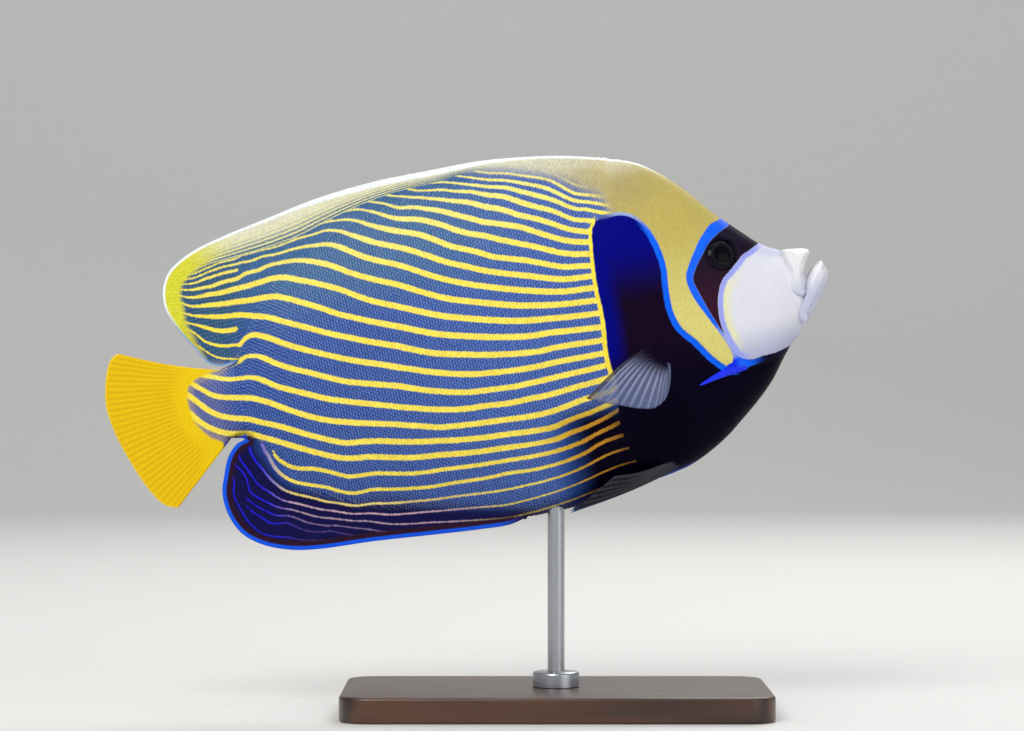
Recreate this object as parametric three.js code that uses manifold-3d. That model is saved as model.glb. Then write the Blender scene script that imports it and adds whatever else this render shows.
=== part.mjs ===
// An adult emperor angelfish at life size, swimming nose-up, held by one rod on a flat display base.
//
// The fish is shaped level in its own frame and then pitched: u runs forward from the tail root, v runs up
// from the line through mouth and tail, and y points to the fish's left. All lengths are in millimetres.
// The origin of the whole part is the middle of the base's underside, with +X towards the nose and +Z up.
import * as THREE from "three";
import { mergeVertices } from "three/addons/utils/BufferGeometryUtils.js";
import Module from "manifold-3d";

const wasm = await Module();
wasm.setup();

// Driving dimensions
const STANDARD_LENGTH = 300; // tail root to lips
const PITCH = THREE.MathUtils.degToRad(12); // nose-up swimming angle
const BELLY_HEIGHT = 94.5; // from the floor to the belly where the rod enters
const GAP = 0.3; // between pieces that touch
const SLIVER = 0.02; // detail below this size is dropped after a cut

const BASE = { length: 200, width: 112, height: 12, corner: 14, chamfer: 1.5 };
const ROD = { radius: 4, intoBase: 6, intoBelly: 10, sides: 20 };
const COLLAR = { radius: 11, height: 7, lip: 1.5, sides: 28 };
const ROD_STATION = 148; // fish-frame u of the rod, just ahead of the anal fin

// Outlines were measured on a fish 300 mm long, and follow the standard length.
const K = STANDARD_LENGTH / 300;
const scaled = (points) => points.map((p) => p.map((n) => n * K));

// Body outline without the fins: [u, height] of the back and of the belly
const BACK = scaled([
  [-8, 5], [-5, 10.5], [-1, 13.5], [8, 15], [14.5, 16.5], [19, 22], [25, 31], [34, 42.5], [44, 50.5],
  [57, 58], [74, 66], [92, 71], [121, 75], [155, 77], [184, 76], [206, 73.6], [218, 69.4], [227, 62.9],
  [236.6, 52.8], [246, 42.6], [251, 36.6], [256, 31.6], [261.5, 26], [267, 20.6], [272, 17.4], [277.5, 14.8],
  [283.5, 14.1], [288.5, 12.8], [290.5, 11], [294.4, 6.7], [296.3, 3], [296.9, 1],
]);
const BELLY = scaled([
  [-8, -7], [-5, -12], [-1, -15.5], [8, -18], [13, -19.5], [17, -23], [21, -29.5], [27, -38], [37, -47.7],
  [52, -56.2], [70, -64], [90, -71], [112, -77], [130, -81], [140, -83], [157, -82.8], [178, -80], [197, -78],
  [212, -75.5], [228, -68.8], [245, -57.2], [260, -44.2], [267, -35.5], [273, -28.5], [279.5, -23], [284, -17.9],
  [289.7, -11.4], [292.7, -7.6], [295.2, -4.3], [296.9, -1.5],
]);
// Half of the body's width along its length
const HALF_WIDTH = scaled([
  [-8, 1.6], [-3, 3], [8, 4.8], [25, 7.6], [50, 11.8], [80, 16.4], [110, 20.2], [140, 23.2], [170, 25.4],
  [195, 26], [215, 25.4], [235, 22.8], [250, 19.6], [262, 16], [272, 12.4], [280, 10], [286, 8.8], [290, 7.2],
  [294, 5], [296.9, 1.8],
]);
// How sharply the section closes at the back and at the belly: 0.5 is round, 1 is an edge
const BACK_EDGE = [[-8, 0.5], [10, 0.55], [30, 0.8], [180, 0.8], [215, 0.62], [250, 0.5], [297, 0.5]];
const BELLY_EDGE = [[-8, 0.5], [10, 0.55], [30, 0.8], [120, 0.8], [150, 0.6], [190, 0.5], [297, 0.5]];
const SECTION_POWER = 2.2;
const SECTION_STEPS = 12; // per side

// Stations along the body: [from, to, how many]
const STATION_RUNS = [[-8, 60, 13], [60, 200, 10], [200, 272, 12], [272, 296.9, 10]];

// Fin margins, from the front of each fin to its rear
const DORSAL_MARGIN = scaled([
  [204, 75.6], [184, 80], [166, 83.2], [147, 85.4], [122, 86], [96, 86.2], [69, 84.2], [42, 79.5], [21.6, 75.8],
  [7.8, 72.4], [-2.5, 67.8], [-8.2, 63], [-11.6, 55], [-11.6, 46.7], [-6.8, 35], [-2, 26.8], [3, 18.8],
  [9, 15.8],
]);
const ANAL_MARGIN = scaled([
  [139, -84.4], [126, -84.6], [111, -83.9], [87, -81.6], [61, -79], [35, -77.2], [22.5, -74.9], [10.4, -70], [1.6, -62.8],
  [-3, -52.7], [-3.6, -42], [-1.2, -34.6], [3, -25.5], [8.6, -19.6],
]);
const CAUDAL_MARGIN = scaled([
  [-38, 32.3], [-41.6, 30.4], [-44.4, 26], [-47, 18.6], [-48.7, 8.4], [-47, -5], [-42.3, -20.6], [-36.3, -35],
  [-31, -42.2], [-25.4, -44.6],
]);
const CAUDAL_ROOT = scaled([[7, 12.6], [1, 7], [-1, 0], [1, -9], [6, -17.6]]);
const DORSAL_BASE_SPAN = [202, 15]; // u along the back
const ANAL_BASE_SPAN = [136, 12.5]; // u along the belly

// Fin rays: how many, and how thick membrane and ridge are, as half thicknesses
const DORSAL = { spines: 14, softRays: 20, root: 1.7, edge: 0.4, ridge: 0.55, sink: 5, rows: 4 };
const ANAL = { rays: 22, root: 1.6, edge: 0.4, ridge: 0.5, sink: 5, rows: 4 };
const CAUDAL = { rays: 17, root: 1.5, edge: 0.35, ridge: 0.45, rows: 4 };
const PECTORAL = { rays: 12, root: 0.9, edge: 0.3, ridge: 0.3, sink: 3, rows: 4 };
const PELVIC = { rays: 6, root: 0.9, edge: 0.35, ridge: 0.45, rows: 4 };
const RIDGE_SHARE = 0.24; // half width of a ridge, as a share of the space between rays
const DORSAL_SPLIT = 0.52; // share of the dorsal fin's length that belongs to its spiny front part

// Head
const GILL_OPENING = scaled([
  [212, 86], [216, 71], [219.5, 50.7], [219.9, 28.4], [221, 17.8], [220, 7.4], [219.8, -1.8], [222, -10.5],
  [228.4, -18.8], [233.7, -26.9], [239.5, -33.1], [249, -36.1], [259.8, -35.4], [275, -34],
]);
const GILL_COVER = scaled([
  [216.6, 37], [219, 28.4], [220.6, 17.8], [219.8, 7.4], [219.6, -1.8], [221.8, -10.5], [228.2, -18.8],
  [233.5, -26.9], [239.2, -32.4], [242.4, -32.2], [244, -29.4], [241.6, -24.6], [237.2, -14], [234.1, -6.1],
  [231.6, -0.7], [229.6, 6.5], [229.6, 12], [231.8, 18], [232, 26], [228, 34.5], [221.6, 39],
]);
const GILL_STEPS = 24; // pieces of the cut along the gill opening
const GILL_COVER_RISE = 0.7;
const GILL_COVER_DEPTH = 2.2;
const TAIL_CUT = 23 * K; // station where the tail stem leaves the torso
const MOUTH_WEDGE = scaled([
  [285, 0.4], [287.2, 6], [290.2, 11.4], [294, 19], [304, 19], [300, 8], [296.4, 6.6], [294.3, 6.6],
  [292.4, 6.1], [289.2, 4.4],
]);
const UPPER_JAW = scaled([
  [277.7, 18], [278.4, 7.2], [279, 3.9], [278.3, 1.4], [276.7, -0.4], [276.1, -3], [277, -5.8], [280, -9], [283, -9.4],
  [284.8, -7.6], [285.3, -3], [285.3, 0.9], [287.4, 6], [290.3, 11.2], [294, 18],
]);
const LOWER_JAW = scaled([
  [285.7, -0.2], [289.2, 3.6], [292, 5.4], [294.5, 8], [301, 8], [301, -8], [292, -16], [284.5, -22],
  [281.5, -18.5], [281, -13.4], [283.4, -10], [285.3, -8], [285.9, -3],
]);
const JAW_RISE = 0.7;
const EYE = { u: 248 * K, v: 18.4 * K, radius: 7.4 * K, depth: 6 * K, proud: 1.5 * K };
const NOSTRILS = [[261.5 * K, 14.5 * K, 0.8], [258.6 * K, 19 * K, 1.0]]; // u, v and radius
const CHEEK_SPINE = { root: [249, -34.2], tip: [224.6, -38.6], radius: 2.7 * K, tipRadius: 0.6 * K, sides: 10 };

// A smooth curve through [x, y] points that never overshoots them
function through(points) {
  const n = points.length;
  const slope = [];
  for (let i = 0; i < n - 1; i++) slope.push((points[i + 1][1] - points[i][1]) / (points[i + 1][0] - points[i][0]));
  const tangent = points.map((_, i) => {
    if (i === 0) return slope[0];
    if (i === n - 1) return slope[n - 2];
    if (slope[i - 1] * slope[i] <= 0) return 0;
    const before = points[i][0] - points[i - 1][0];
    const after = points[i + 1][0] - points[i][0];
    const w1 = 2 * after + before;
    const w2 = after + 2 * before;
    return (w1 + w2) / (w1 / slope[i - 1] + w2 / slope[i]);
  });
  return (x) => {
    const held = Math.min(Math.max(x, points[0][0]), points[n - 1][0]);
    let i = 0;
    while (i < n - 2 && held > points[i + 1][0]) i++;
    const h = points[i + 1][0] - points[i][0];
    const s = (held - points[i][0]) / h;
    const a = points[i][1];
    const b = points[i + 1][1];
    return (
      a * (1 + 2 * s) * (1 - s) ** 2 + h * tangent[i] * s * (1 - s) ** 2 +
      b * s * s * (3 - 2 * s) - h * tangent[i + 1] * s * s * (1 - s)
    );
  };
}

const backAt = through(BACK);
const bellyAt = through(BELLY);
const widthAt = through(HALF_WIDTH);
const backEdgeAt = through(BACK_EDGE);
const bellyEdgeAt = through(BELLY_EDGE);

const curve = (points) =>
  new THREE.CatmullRomCurve3(points.map(([u, v]) => new THREE.Vector3(u, 0, v)), false, "centripetal");

// Half the body's width at share t of its half height, from -1 at the belly to 1 at the back
function sectionWidth(u, t, grow = 0) {
  const edge = t > 0 ? backEdgeAt(u / K) : bellyEdgeAt(u / K);
  return (widthAt(u) + grow) * Math.max(0, 1 - Math.abs(t) ** SECTION_POWER) ** edge;
}

// Half the body's width at any point of its side
function halfThickness(u, v) {
  const top = backAt(u);
  const bottom = bellyAt(u);
  return sectionWidth(u, (2 * v - top - bottom) / (top - bottom));
}

// A mesh geometry as a solid, and a solid as a mesh geometry
function solidOf(geometry) {
  const g = geometry.clone();
  g.deleteAttribute("normal");
  g.deleteAttribute("uv");
  const merged = mergeVertices(g, 1e-4);
  return new wasm.Manifold(
    new wasm.Mesh({
      numProp: 3,
      vertProperties: merged.attributes.position.array,
      triVerts: new Uint32Array(merged.index.array),
    }),
  );
}

function geometryOf(solid) {
  const mesh = solid.getMesh();
  const g = new THREE.BufferGeometry();
  const positions = new Float32Array(mesh.numVert * 3);
  for (let i = 0; i < mesh.numVert; i++)
    positions.set(mesh.vertProperties.subarray(i * mesh.numProp, i * mesh.numProp + 3), i * 3);
  g.setAttribute("position", new THREE.BufferAttribute(positions, 3));
  g.setIndex(new THREE.BufferAttribute(mesh.triVerts, 1));
  const flat = g.toNonIndexed();
  flat.computeVertexNormals();
  return flat;
}

// The largest closed piece, without the slivers that a cut leaves
function largest(solid) {
  return solid.decompose().sort((a, b) => b.volume() - a.volume())[0].simplify(SLIVER);
}

function solidFrom(vertices, faces) {
  const made = new wasm.Manifold(
    new wasm.Mesh({
      numProp: 3,
      vertProperties: new Float32Array(vertices.flat()),
      triVerts: new Uint32Array(faces.flat()),
    }),
  );
  if (made.volume() > 0) return made;
  return solidFrom(vertices, faces.map(([a, b, c]) => [a, c, b]));
}

// Rings of equally many points, joined and closed at both ends
function loft(rings) {
  const count = rings[0].length;
  const vertices = rings.flat();
  const faces = [];
  for (let i = 0; i < rings.length - 1; i++) {
    for (let j = 0; j < count; j++) {
      const a = i * count + j;
      const b = i * count + ((j + 1) % count);
      faces.push([a, b, b + count], [a, b + count, a + count]);
    }
  }
  const first = vertices.push(middle(rings[0])) - 1;
  const last = vertices.push(middle(rings[rings.length - 1])) - 1;
  const end = (rings.length - 1) * count;
  for (let j = 0; j < count; j++) {
    const k = (j + 1) % count;
    faces.push([first, k, j], [last, end + j, end + k]);
  }
  return solidFrom(vertices, faces);
}

function middle(points) {
  const sum = points.reduce((s, p) => [s[0] + p[0], s[1] + p[1], s[2] + p[2]], [0, 0, 0]);
  return sum.map((n) => n / points.length);
}

// The whole body from tail root to lips, or the same body grown on every side
function bodySolid(grow = 0) {
  const stations = [];
  for (const [from, to, count] of STATION_RUNS)
    for (let i = 0; i < count; i++) stations.push((from + ((to - from) * i) / count) * K);
  stations.push(STATION_RUNS[STATION_RUNS.length - 1][1] * K);
  const rings = stations.map((u, i) => {
    const centre = (backAt(u) + bellyAt(u)) / 2;
    const half = (backAt(u) - bellyAt(u)) / 2 + grow;
    const shift = i === 0 ? -grow : i === stations.length - 1 ? grow : 0;
    const side = [];
    for (let j = 0; j <= SECTION_STEPS; j++) {
      const t = Math.sin(((j / SECTION_STEPS) * 2 - 1) * (Math.PI / 2));
      side.push([u + shift, sectionWidth(u, t, grow), centre + half * t]);
    }
    const right = side.map(([x, y, z]) => [x, -y, z]);
    const left = side.slice(1, -1).reverse();
    return [...right, ...left];
  });
  return loft(rings);
}

// A side-view outline carried across the fish from y0 to y1
function prism(outline, y0 = -80, y1 = 80) {
  const shape = new THREE.Shape(outline.map(([u, v]) => new THREE.Vector2(u, v)));
  const g = new THREE.ExtrudeGeometry(shape, { depth: y1 - y0, bevelEnabled: false, steps: 1 });
  g.rotateX(Math.PI / 2);
  g.translate(0, y1, 0);
  return solidOf(g);
}

// The outline moved outwards by d, for a closed outline given in either direction
function outset(outline, d) {
  const n = outline.length;
  const area = outline.reduce((s, [x, y], i) => {
    const [x2, y2] = outline[(i + 1) % n];
    return s + x * y2 - x2 * y;
  }, 0);
  const out = Math.sign(area);
  return outline.map(([x, y], i) => {
    const [xa, ya] = outline[(i + n - 1) % n];
    const [xb, yb] = outline[(i + 1) % n];
    const along = new THREE.Vector2(x - xa, y - ya).normalize().add(new THREE.Vector2(xb - x, yb - y).normalize());
    along.normalize();
    return [x + out * along.y * d, y - out * along.x * d];
  });
}

const smoothOutline = (points, steps) => {
  const c = new THREE.CatmullRomCurve3(points.map(([u, v]) => new THREE.Vector3(u, 0, v)), true, "centripetal");
  return c.getSpacedPoints(steps).slice(0, -1).map((p) => [p.x, p.z]);
};

const mirrored = (solid) => solid.mirror([0, 1, 0]);

// A thin wall along a side-view line, which parts what it crosses
function wall(points, steps) {
  const line = curve(points);
  const ahead = [];
  const behind = [];
  for (let i = 0; i <= steps; i++) {
    const p = line.getPointAt(i / steps);
    const t = line.getTangentAt(i / steps);
    ahead.push([p.x - (t.z * GAP) / 2, p.z + (t.x * GAP) / 2]);
    behind.push([p.x + (t.z * GAP) / 2, p.z - (t.x * GAP) / 2]);
  }
  return prism([...ahead, ...behind.reverse()]);
}

// A fin: a thin plate over a surface(c, r), c across the rays and r from root to margin, with a raised
// ridge for each ray. Both faces are split into triangles alike.
function finSolid(surface, { rays, root, edge, ridge, rows }) {
  const shares = [0];
  for (let k = 0; k < rays; k++)
    for (const side of [-1, 0, 1]) shares.push((k + 0.5 + side * RIDGE_SHARE) / rays);
  shares.push(1);
  const columns = shares.length;
  const step = 1e-3;
  const faces = [];
  const right = [];
  const left = [];
  for (let i = 0; i < columns; i++) {
    const onRidge = i > 0 && i < columns - 1 && (i - 1) % 3 === 1;
    for (let j = 0; j <= rows; j++) {
      const c = shares[i];
      const r = j / rows;
      const p = surface(c, r);
      const across = surface(Math.min(c + step, 1), r).sub(surface(Math.max(c - step, 0), r));
      const along = surface(c, Math.min(r + step, 1)).sub(surface(c, Math.max(r - step, 0)));
      const normal = across.cross(along).normalize();
      if (normal.y > 0) normal.negate();
      const half = root + (edge - root) * r ** 0.8 + (onRidge ? ridge * (1 - 0.55 * r) : 0);
      right.push(p.clone().addScaledVector(normal, half).toArray());
      left.push(p.clone().addScaledVector(normal, -half).toArray());
    }
  }
  const vertices = [...right, ...left];
  const other = right.length;
  const at = (i, j) => i * (rows + 1) + j;
  for (let i = 0; i < columns - 1; i++) {
    for (let j = 0; j < rows; j++) {
      const [a, b, c, d] = [at(i, j), at(i + 1, j), at(i + 1, j + 1), at(i, j + 1)];
      faces.push([a, b, c], [a, c, d], [other + a, other + c, other + b], [other + a, other + d, other + c]);
    }
  }
  const rim = [];
  for (let i = 0; i < columns - 1; i++) rim.push([at(i, 0), at(i + 1, 0)]);
  for (let j = 0; j < rows; j++) rim.push([at(columns - 1, j), at(columns - 1, j + 1)]);
  for (let i = columns - 1; i > 0; i--) rim.push([at(i, rows), at(i - 1, rows)]);
  for (let j = rows; j > 0; j--) rim.push([at(0, j), at(0, j - 1)]);
  for (const [a, b] of rim) faces.push([b, a, other + a], [b, other + a, other + b]);
  return solidFrom(vertices, faces);
}

// The middle surface of a fin that stands in the body's middle plane, between a root line and its margin
function medianFin(rootLine, marginLine, from, to, sink) {
  return (c, r) => {
    const share = from + (to - from) * c;
    const base = rootLine(share);
    const tip = marginLine.getPointAt(share);
    const inwards = base.clone().sub(tip).setLength(sink);
    return base.add(inwards).lerp(tip, r);
  };
}

// A point at a share of the length of the back or belly line between two stations
function alongEdge(heightAt, [from, to]) {
  const points = [];
  for (let i = 0; i <= 60; i++) {
    const u = (from + ((to - from) * i) / 60) * K;
    points.push(new THREE.Vector3(u, 0, heightAt(u)));
  }
  const line = new THREE.CatmullRomCurve3(points);
  return (share) => line.getPointAt(share);
}

// Body parts
const body = bodySolid().subtract(prism(MOUTH_WEDGE));
const clearOfBody = bodySolid(GAP);

function bodyPieces() {
  const lips = bodySolid(JAW_RISE).subtract(prism(MOUTH_WEDGE));
  const upperRoom = prism(outset(UPPER_JAW, GAP));
  const lowerRoom = prism(outset(LOWER_JAW, GAP));
  const upperJaw = largest(lips.intersect(prism(UPPER_JAW)));
  const lowerJaw = largest(lips.intersect(prism(LOWER_JAW)).subtract(upperRoom));
  const withoutJaws = body.subtract(upperRoom).subtract(lowerRoom);
  const gill = wall(GILL_OPENING, GILL_STEPS);
  const tail = prism([
    [TAIL_CUT - GAP / 2, -90], [TAIL_CUT + GAP / 2, -90], [TAIL_CUT + GAP / 2, 90], [TAIL_CUT - GAP / 2, 90],
  ]);
  const parted = withoutJaws.subtract(gill).subtract(tail).decompose();
  parted.sort((a, b) => b.volume() - a.volume());
  const [tailStem, torso, head] = parted
    .slice(0, 3)
    .sort((a, b) => a.boundingBox().min[0] - b.boundingBox().min[0]);
  return { upperJaw, lowerJaw, tailStem, torso, head };
}

// The right gill cover, and the pocket that it sits in
function gillCover() {
  const y = [-60, -2];
  const outline = smoothOutline(GILL_COVER, 32);
  const plate = prism(outline, ...y)
    .intersect(bodySolid(GILL_COVER_RISE))
    .subtract(bodySolid(-GILL_COVER_DEPTH))
    .subtract(wall(GILL_OPENING, GILL_STEPS));
  const pocket = prism(outset(outline, GAP), ...y).subtract(bodySolid(-GILL_COVER_DEPTH - GAP));
  return { plate: largest(plate), pocket };
}

// Outward direction of the body's right side
function outward(u, v) {
  const step = 0.5;
  const du = (halfThickness(u + step, v) - halfThickness(u - step, v)) / (2 * step);
  const dv = (halfThickness(u, v + step) - halfThickness(u, v - step)) / (2 * step);
  return new THREE.Vector3(-du, -1, -dv).normalize();
}

function eyeball(grow = 0) {
  const g = new THREE.SphereGeometry(1, 20, 12);
  g.rotateX(Math.PI / 2);
  g.scale(EYE.radius + grow, EYE.depth + grow, EYE.radius + grow);
  const out = outward(EYE.u, EYE.v);
  const surface = new THREE.Vector3(EYE.u, -halfThickness(EYE.u, EYE.v), EYE.v);
  const turn = new THREE.Quaternion().setFromUnitVectors(new THREE.Vector3(0, -1, 0), out);
  g.applyQuaternion(turn);
  const centre = surface.addScaledVector(out, EYE.proud - EYE.depth);
  g.translate(...centre.toArray());
  return solidOf(g);
}

function nostrilPits() {
  return NOSTRILS.map(([u, v, radius]) => {
    const g = new THREE.SphereGeometry(radius, 8, 6);
    const at = new THREE.Vector3(u, -halfThickness(u, v), v).addScaledVector(outward(u, v), -radius * 0.25);
    g.translate(...at.toArray());
    return solidOf(g);
  });
}

// The strong spine at the lower corner of the cheek, lying back along the throat
function cheekSpine() {
  const [rootU, rootV] = CHEEK_SPINE.root.map((n) => n * K);
  const [tipU, tipV] = CHEEK_SPINE.tip.map((n) => n * K);
  const rings = [];
  const steps = 7;
  for (let i = 0; i <= steps; i++) {
    const s = i / steps;
    const u = rootU + (tipU - rootU) * s;
    const v = rootV + (tipV - rootV) * s + 1.2 * K * Math.sin(Math.PI * s);
    const out = outward(u, v);
    const radius = CHEEK_SPINE.radius + (CHEEK_SPINE.tipRadius - CHEEK_SPINE.radius) * s ** 1.2;
    const centre = new THREE.Vector3(u, -halfThickness(u, v), v).addScaledVector(out, 0.5 + 1.3 * s);
    const ring = [];
    for (let j = 0; j < CHEEK_SPINE.sides; j++) {
      const angle = (2 * Math.PI * j) / CHEEK_SPINE.sides;
      const p = centre.clone().addScaledVector(out, Math.cos(angle) * radius * 0.75);
      ring.push([p.x, p.y, p.z + Math.sin(angle) * radius]);
    }
    rings.push(ring);
  }
  return largest(loft(rings).subtract(clearOfBody));
}

// Fins in the middle plane
function dorsalFin(from, to, rays) {
  const surface = medianFin(alongEdge(backAt, DORSAL_BASE_SPAN), curve(DORSAL_MARGIN), from, to, DORSAL.sink);
  return largest(finSolid(surface, { ...DORSAL, rays }).subtract(clearOfBody));
}

function analFin() {
  const surface = medianFin(alongEdge(bellyAt, ANAL_BASE_SPAN), curve(ANAL_MARGIN), 0, 1, ANAL.sink);
  return largest(finSolid(surface, ANAL).subtract(clearOfBody));
}

function caudalFin() {
  const root = curve(CAUDAL_ROOT);
  const margin = curve(CAUDAL_MARGIN);
  const surface = (c, r) => root.getPointAt(c).lerp(margin.getPointAt(c), r);
  return largest(finSolid(surface, CAUDAL).subtract(clearOfBody));
}

// Paired fins: root line and margin are curves in space, and y is counted from the middle plane outwards
const PECTORAL_ROOT = [[215, -14.5], [212.4, -21.5], [209, -29]]; // u and v, on the flank
const PECTORAL_TIPS = [
  [171.6, 37, -33.2], [177, 46, -36], [185, 52, -39], [193.9, 55, -42], [202, 54, -44], [209.7, 47, -41.6],
  [213.6, 38, -36.4], [214.6, 28, -31],
]; // u, distance beyond the flank, v
const PELVIC_ROOT = [[215, 4.5, -72.4], [211.5, 6.2, -71.2], [208, 8, -69.6]]; // u, y, v
const PELVIC_TIPS = [[154.5, 9.5, -84.9], [159, 11.4, -82.4], [165, 13.6, -79], [171.5, 15.8, -75.4], [178, 17.6, -71.8]];

const spaceCurve = (points) => {
  const c = new THREE.CatmullRomCurve3(points.map((p) => new THREE.Vector3(...p)), false, "centripetal");
  return (share) => c.getPointAt(share);
};

function pectoralFin() {
  const rootLine = spaceCurve(
    PECTORAL_ROOT.map(([u, v]) => [u * K, PECTORAL.sink - halfThickness(u * K, v * K), v * K]),
  );
  const flank = halfThickness(212 * K, -22 * K);
  const tipLine = spaceCurve(PECTORAL_TIPS.map(([u, y, v]) => [u * K, -flank - y * K, v * K]));
  const bend = 4.5 * K;
  const surface = (c, r) => {
    const p = rootLine(c).lerp(tipLine(c), r);
    const bow = Math.sin(Math.PI * r) * bend;
    return p.add(new THREE.Vector3(0.5 * bow, 0, bow));
  };
  return largest(finSolid(surface, PECTORAL).subtract(clearOfBody));
}

function pelvicFin() {
  const onRight = (points) => points.map(([u, y, v]) => [u * K, -y * K, v * K]);
  const rootLine = spaceCurve(onRight(PELVIC_ROOT));
  const tipLine = spaceCurve(onRight(PELVIC_TIPS));
  const bow = 3.4 * K;
  const surface = (c, r) => {
    const p = rootLine(c).lerp(tipLine(c), r);
    const rise = bow * Math.sin(Math.PI * r);
    return p.add(new THREE.Vector3(0, -rise * c, -0.5 * rise));
  };
  return largest(finSolid(surface, PELVIC).subtract(clearOfBody));
}

// Where the fish's frame stands in the part: pitched, with the rod's station over the base's middle
const fish = new THREE.Group();
const rodU = ROD_STATION * K;
const rodV = bellyAt(rodU);
fish.rotation.y = -PITCH;
fish.position.set(
  -(rodU * Math.cos(PITCH) - rodV * Math.sin(PITCH)),
  0,
  BELLY_HEIGHT - (rodU * Math.sin(PITCH) + rodV * Math.cos(PITCH)),
);
fish.updateMatrix();
const intoFish = fish.matrix.clone().invert();

function rodGeometry(radius, top, bottom) {
  const g = new THREE.CylinderGeometry(radius, radius, top - bottom, ROD.sides);
  g.rotateX(Math.PI / 2);
  g.translate(0, 0, (top + bottom) / 2);
  return g;
}

// Display stand, in the part's own frame
function standBase() {
  const { length, width, height, corner, chamfer } = BASE;
  const inner = 2 * chamfer;
  const shape = new THREE.Shape();
  const [x, y, r] = [(length - inner) / 2, (width - inner) / 2, corner - chamfer];
  shape.moveTo(-x + r, -y);
  shape.lineTo(x - r, -y);
  shape.absarc(x - r, -y + r, r, -Math.PI / 2, 0);
  shape.lineTo(x, y - r);
  shape.absarc(x - r, y - r, r, 0, Math.PI / 2);
  shape.lineTo(-x + r, y);
  shape.absarc(-x + r, y - r, r, Math.PI / 2, Math.PI);
  shape.lineTo(-x, -y + r);
  shape.absarc(-x + r, -y + r, r, Math.PI, 1.5 * Math.PI);
  const g = new THREE.ExtrudeGeometry(shape, {
    depth: height - inner,
    bevelSize: chamfer,
    bevelThickness: chamfer,
    bevelSegments: 1,
    curveSegments: 5,
  });
  g.translate(0, 0, chamfer);
  const hole = solidOf(rodGeometry(ROD.radius + GAP, height + 5, height - ROD.intoBase - GAP));
  return solidOf(g).subtract(hole);
}

function standCollar() {
  const { radius, height, lip, sides } = COLLAR;
  const inner = ROD.radius + GAP;
  const bottom = BASE.height + GAP;
  const profile = [
    [inner, bottom], [radius, bottom], [radius, bottom + height - 2 * lip], [radius - lip, bottom + height - lip],
    [inner + lip, bottom + height], [inner, bottom + height], [inner, bottom],
  ];
  const g = new THREE.LatheGeometry(profile.map(([x, y]) => new THREE.Vector2(x, y)), sides);
  g.rotateX(Math.PI / 2);
  return solidOf(g);
}

const rodTop = BELLY_HEIGHT + ROD.intoBelly;
const rod = solidOf(rodGeometry(ROD.radius, rodTop, BASE.height - ROD.intoBase));
const rodSocket = solidOf(rodGeometry(ROD.radius + GAP, rodTop + GAP, BASE.height + 20).applyMatrix4(intoFish));

// Nodes, each with its own colour
const part = new THREE.Group();
part.add(fish);

function addNode(parent, name, solid, colour, roughness, metalness = 0) {
  const material = new THREE.MeshStandardMaterial({ color: colour, roughness, metalness });
  const mesh = new THREE.Mesh(geometryOf(solid), material);
  mesh.name = name;
  parent.add(mesh);
}

const pieces = bodyPieces();
let head = pieces.head;
const torso = pieces.torso.subtract(rodSocket);
const cover = gillCover();
const rightPieces = [
  ["gill_cover", cover.plate, 0xb3a552, 0.45],
  ["eye", eyeball(), 0x14181c, 0.1],
  ["cheek_spine", cheekSpine(), 0x1330d8, 0.4],
  ["pectoral_fin", pectoralFin(), 0x6c7fa6, 0.5],
  ["pelvic_fin", pelvicFin(), 0x1a1030, 0.5],
];
for (const [name, solid, colour, roughness] of rightPieces) {
  addNode(fish, name + "_right", solid, colour, roughness);
  addNode(fish, name + "_left", mirrored(solid), colour, roughness);
}
for (const pocket of [cover.pocket, eyeball(GAP), ...nostrilPits()])
  head = head.subtract(pocket).subtract(mirrored(pocket));
addNode(fish, "head", largest(head), 0xd9d6dc, 0.45);
addNode(fish, "upper_jaw", pieces.upperJaw, 0xe6e2e4, 0.45);
addNode(fish, "lower_jaw", pieces.lowerJaw, 0xdcd9e2, 0.45);
addNode(fish, "torso", largest(torso), 0x3d62a8, 0.5);
addNode(fish, "tail_stem", pieces.tailStem, 0xa9a066, 0.5);
addNode(fish, "dorsal_fin_spiny", dorsalFin(0, DORSAL_SPLIT - 0.001, DORSAL.spines), 0xd8cf9a, 0.5);
addNode(fish, "dorsal_fin_soft", dorsalFin(DORSAL_SPLIT + 0.001, 1, DORSAL.softRays), 0xa8a860, 0.5);
addNode(fish, "anal_fin", analFin(), 0x0b0d4a, 0.5);
addNode(fish, "caudal_fin", caudalFin(), 0xe8b80c, 0.5);
addNode(part, "stand_base", standBase(), 0x3a2618, 0.5);
addNode(part, "stand_collar", standCollar(), 0xb8bcc2, 0.3, 1);
addNode(part, "stand_rod", rod, 0xb8bcc2, 0.3, 1);

export default part;
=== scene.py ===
"""Dresses an adult emperor angelfish on its display stand, around the fixed frame.

The fish is shaped level in its own frame, in millimetres: u forwards from the tail root, v up and y to its
left. to_part() pitches that frame nose-up and sets it over the base, in metres.
"""
import math

import bmesh
import bpy
import numpy as np
from mathutils import Matrix, Vector


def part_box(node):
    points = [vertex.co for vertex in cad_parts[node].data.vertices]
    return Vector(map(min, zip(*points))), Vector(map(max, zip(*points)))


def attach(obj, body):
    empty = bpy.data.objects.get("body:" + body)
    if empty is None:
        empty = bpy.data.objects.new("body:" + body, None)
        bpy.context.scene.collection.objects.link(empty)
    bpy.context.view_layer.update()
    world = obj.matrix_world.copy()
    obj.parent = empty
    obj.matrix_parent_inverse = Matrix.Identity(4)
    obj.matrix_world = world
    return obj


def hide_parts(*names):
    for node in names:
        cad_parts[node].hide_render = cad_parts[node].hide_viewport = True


bl_info = {
    "name": "Emperor Angelfish Model",
    "version": (1, 0, 0),
    "blender": (4, 5, 0),
    "location": "3D View > Sidebar > Angelfish",
    "description": "Builds a life-size emperor angelfish on a display stand",
    "category": "Object",
}

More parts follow.
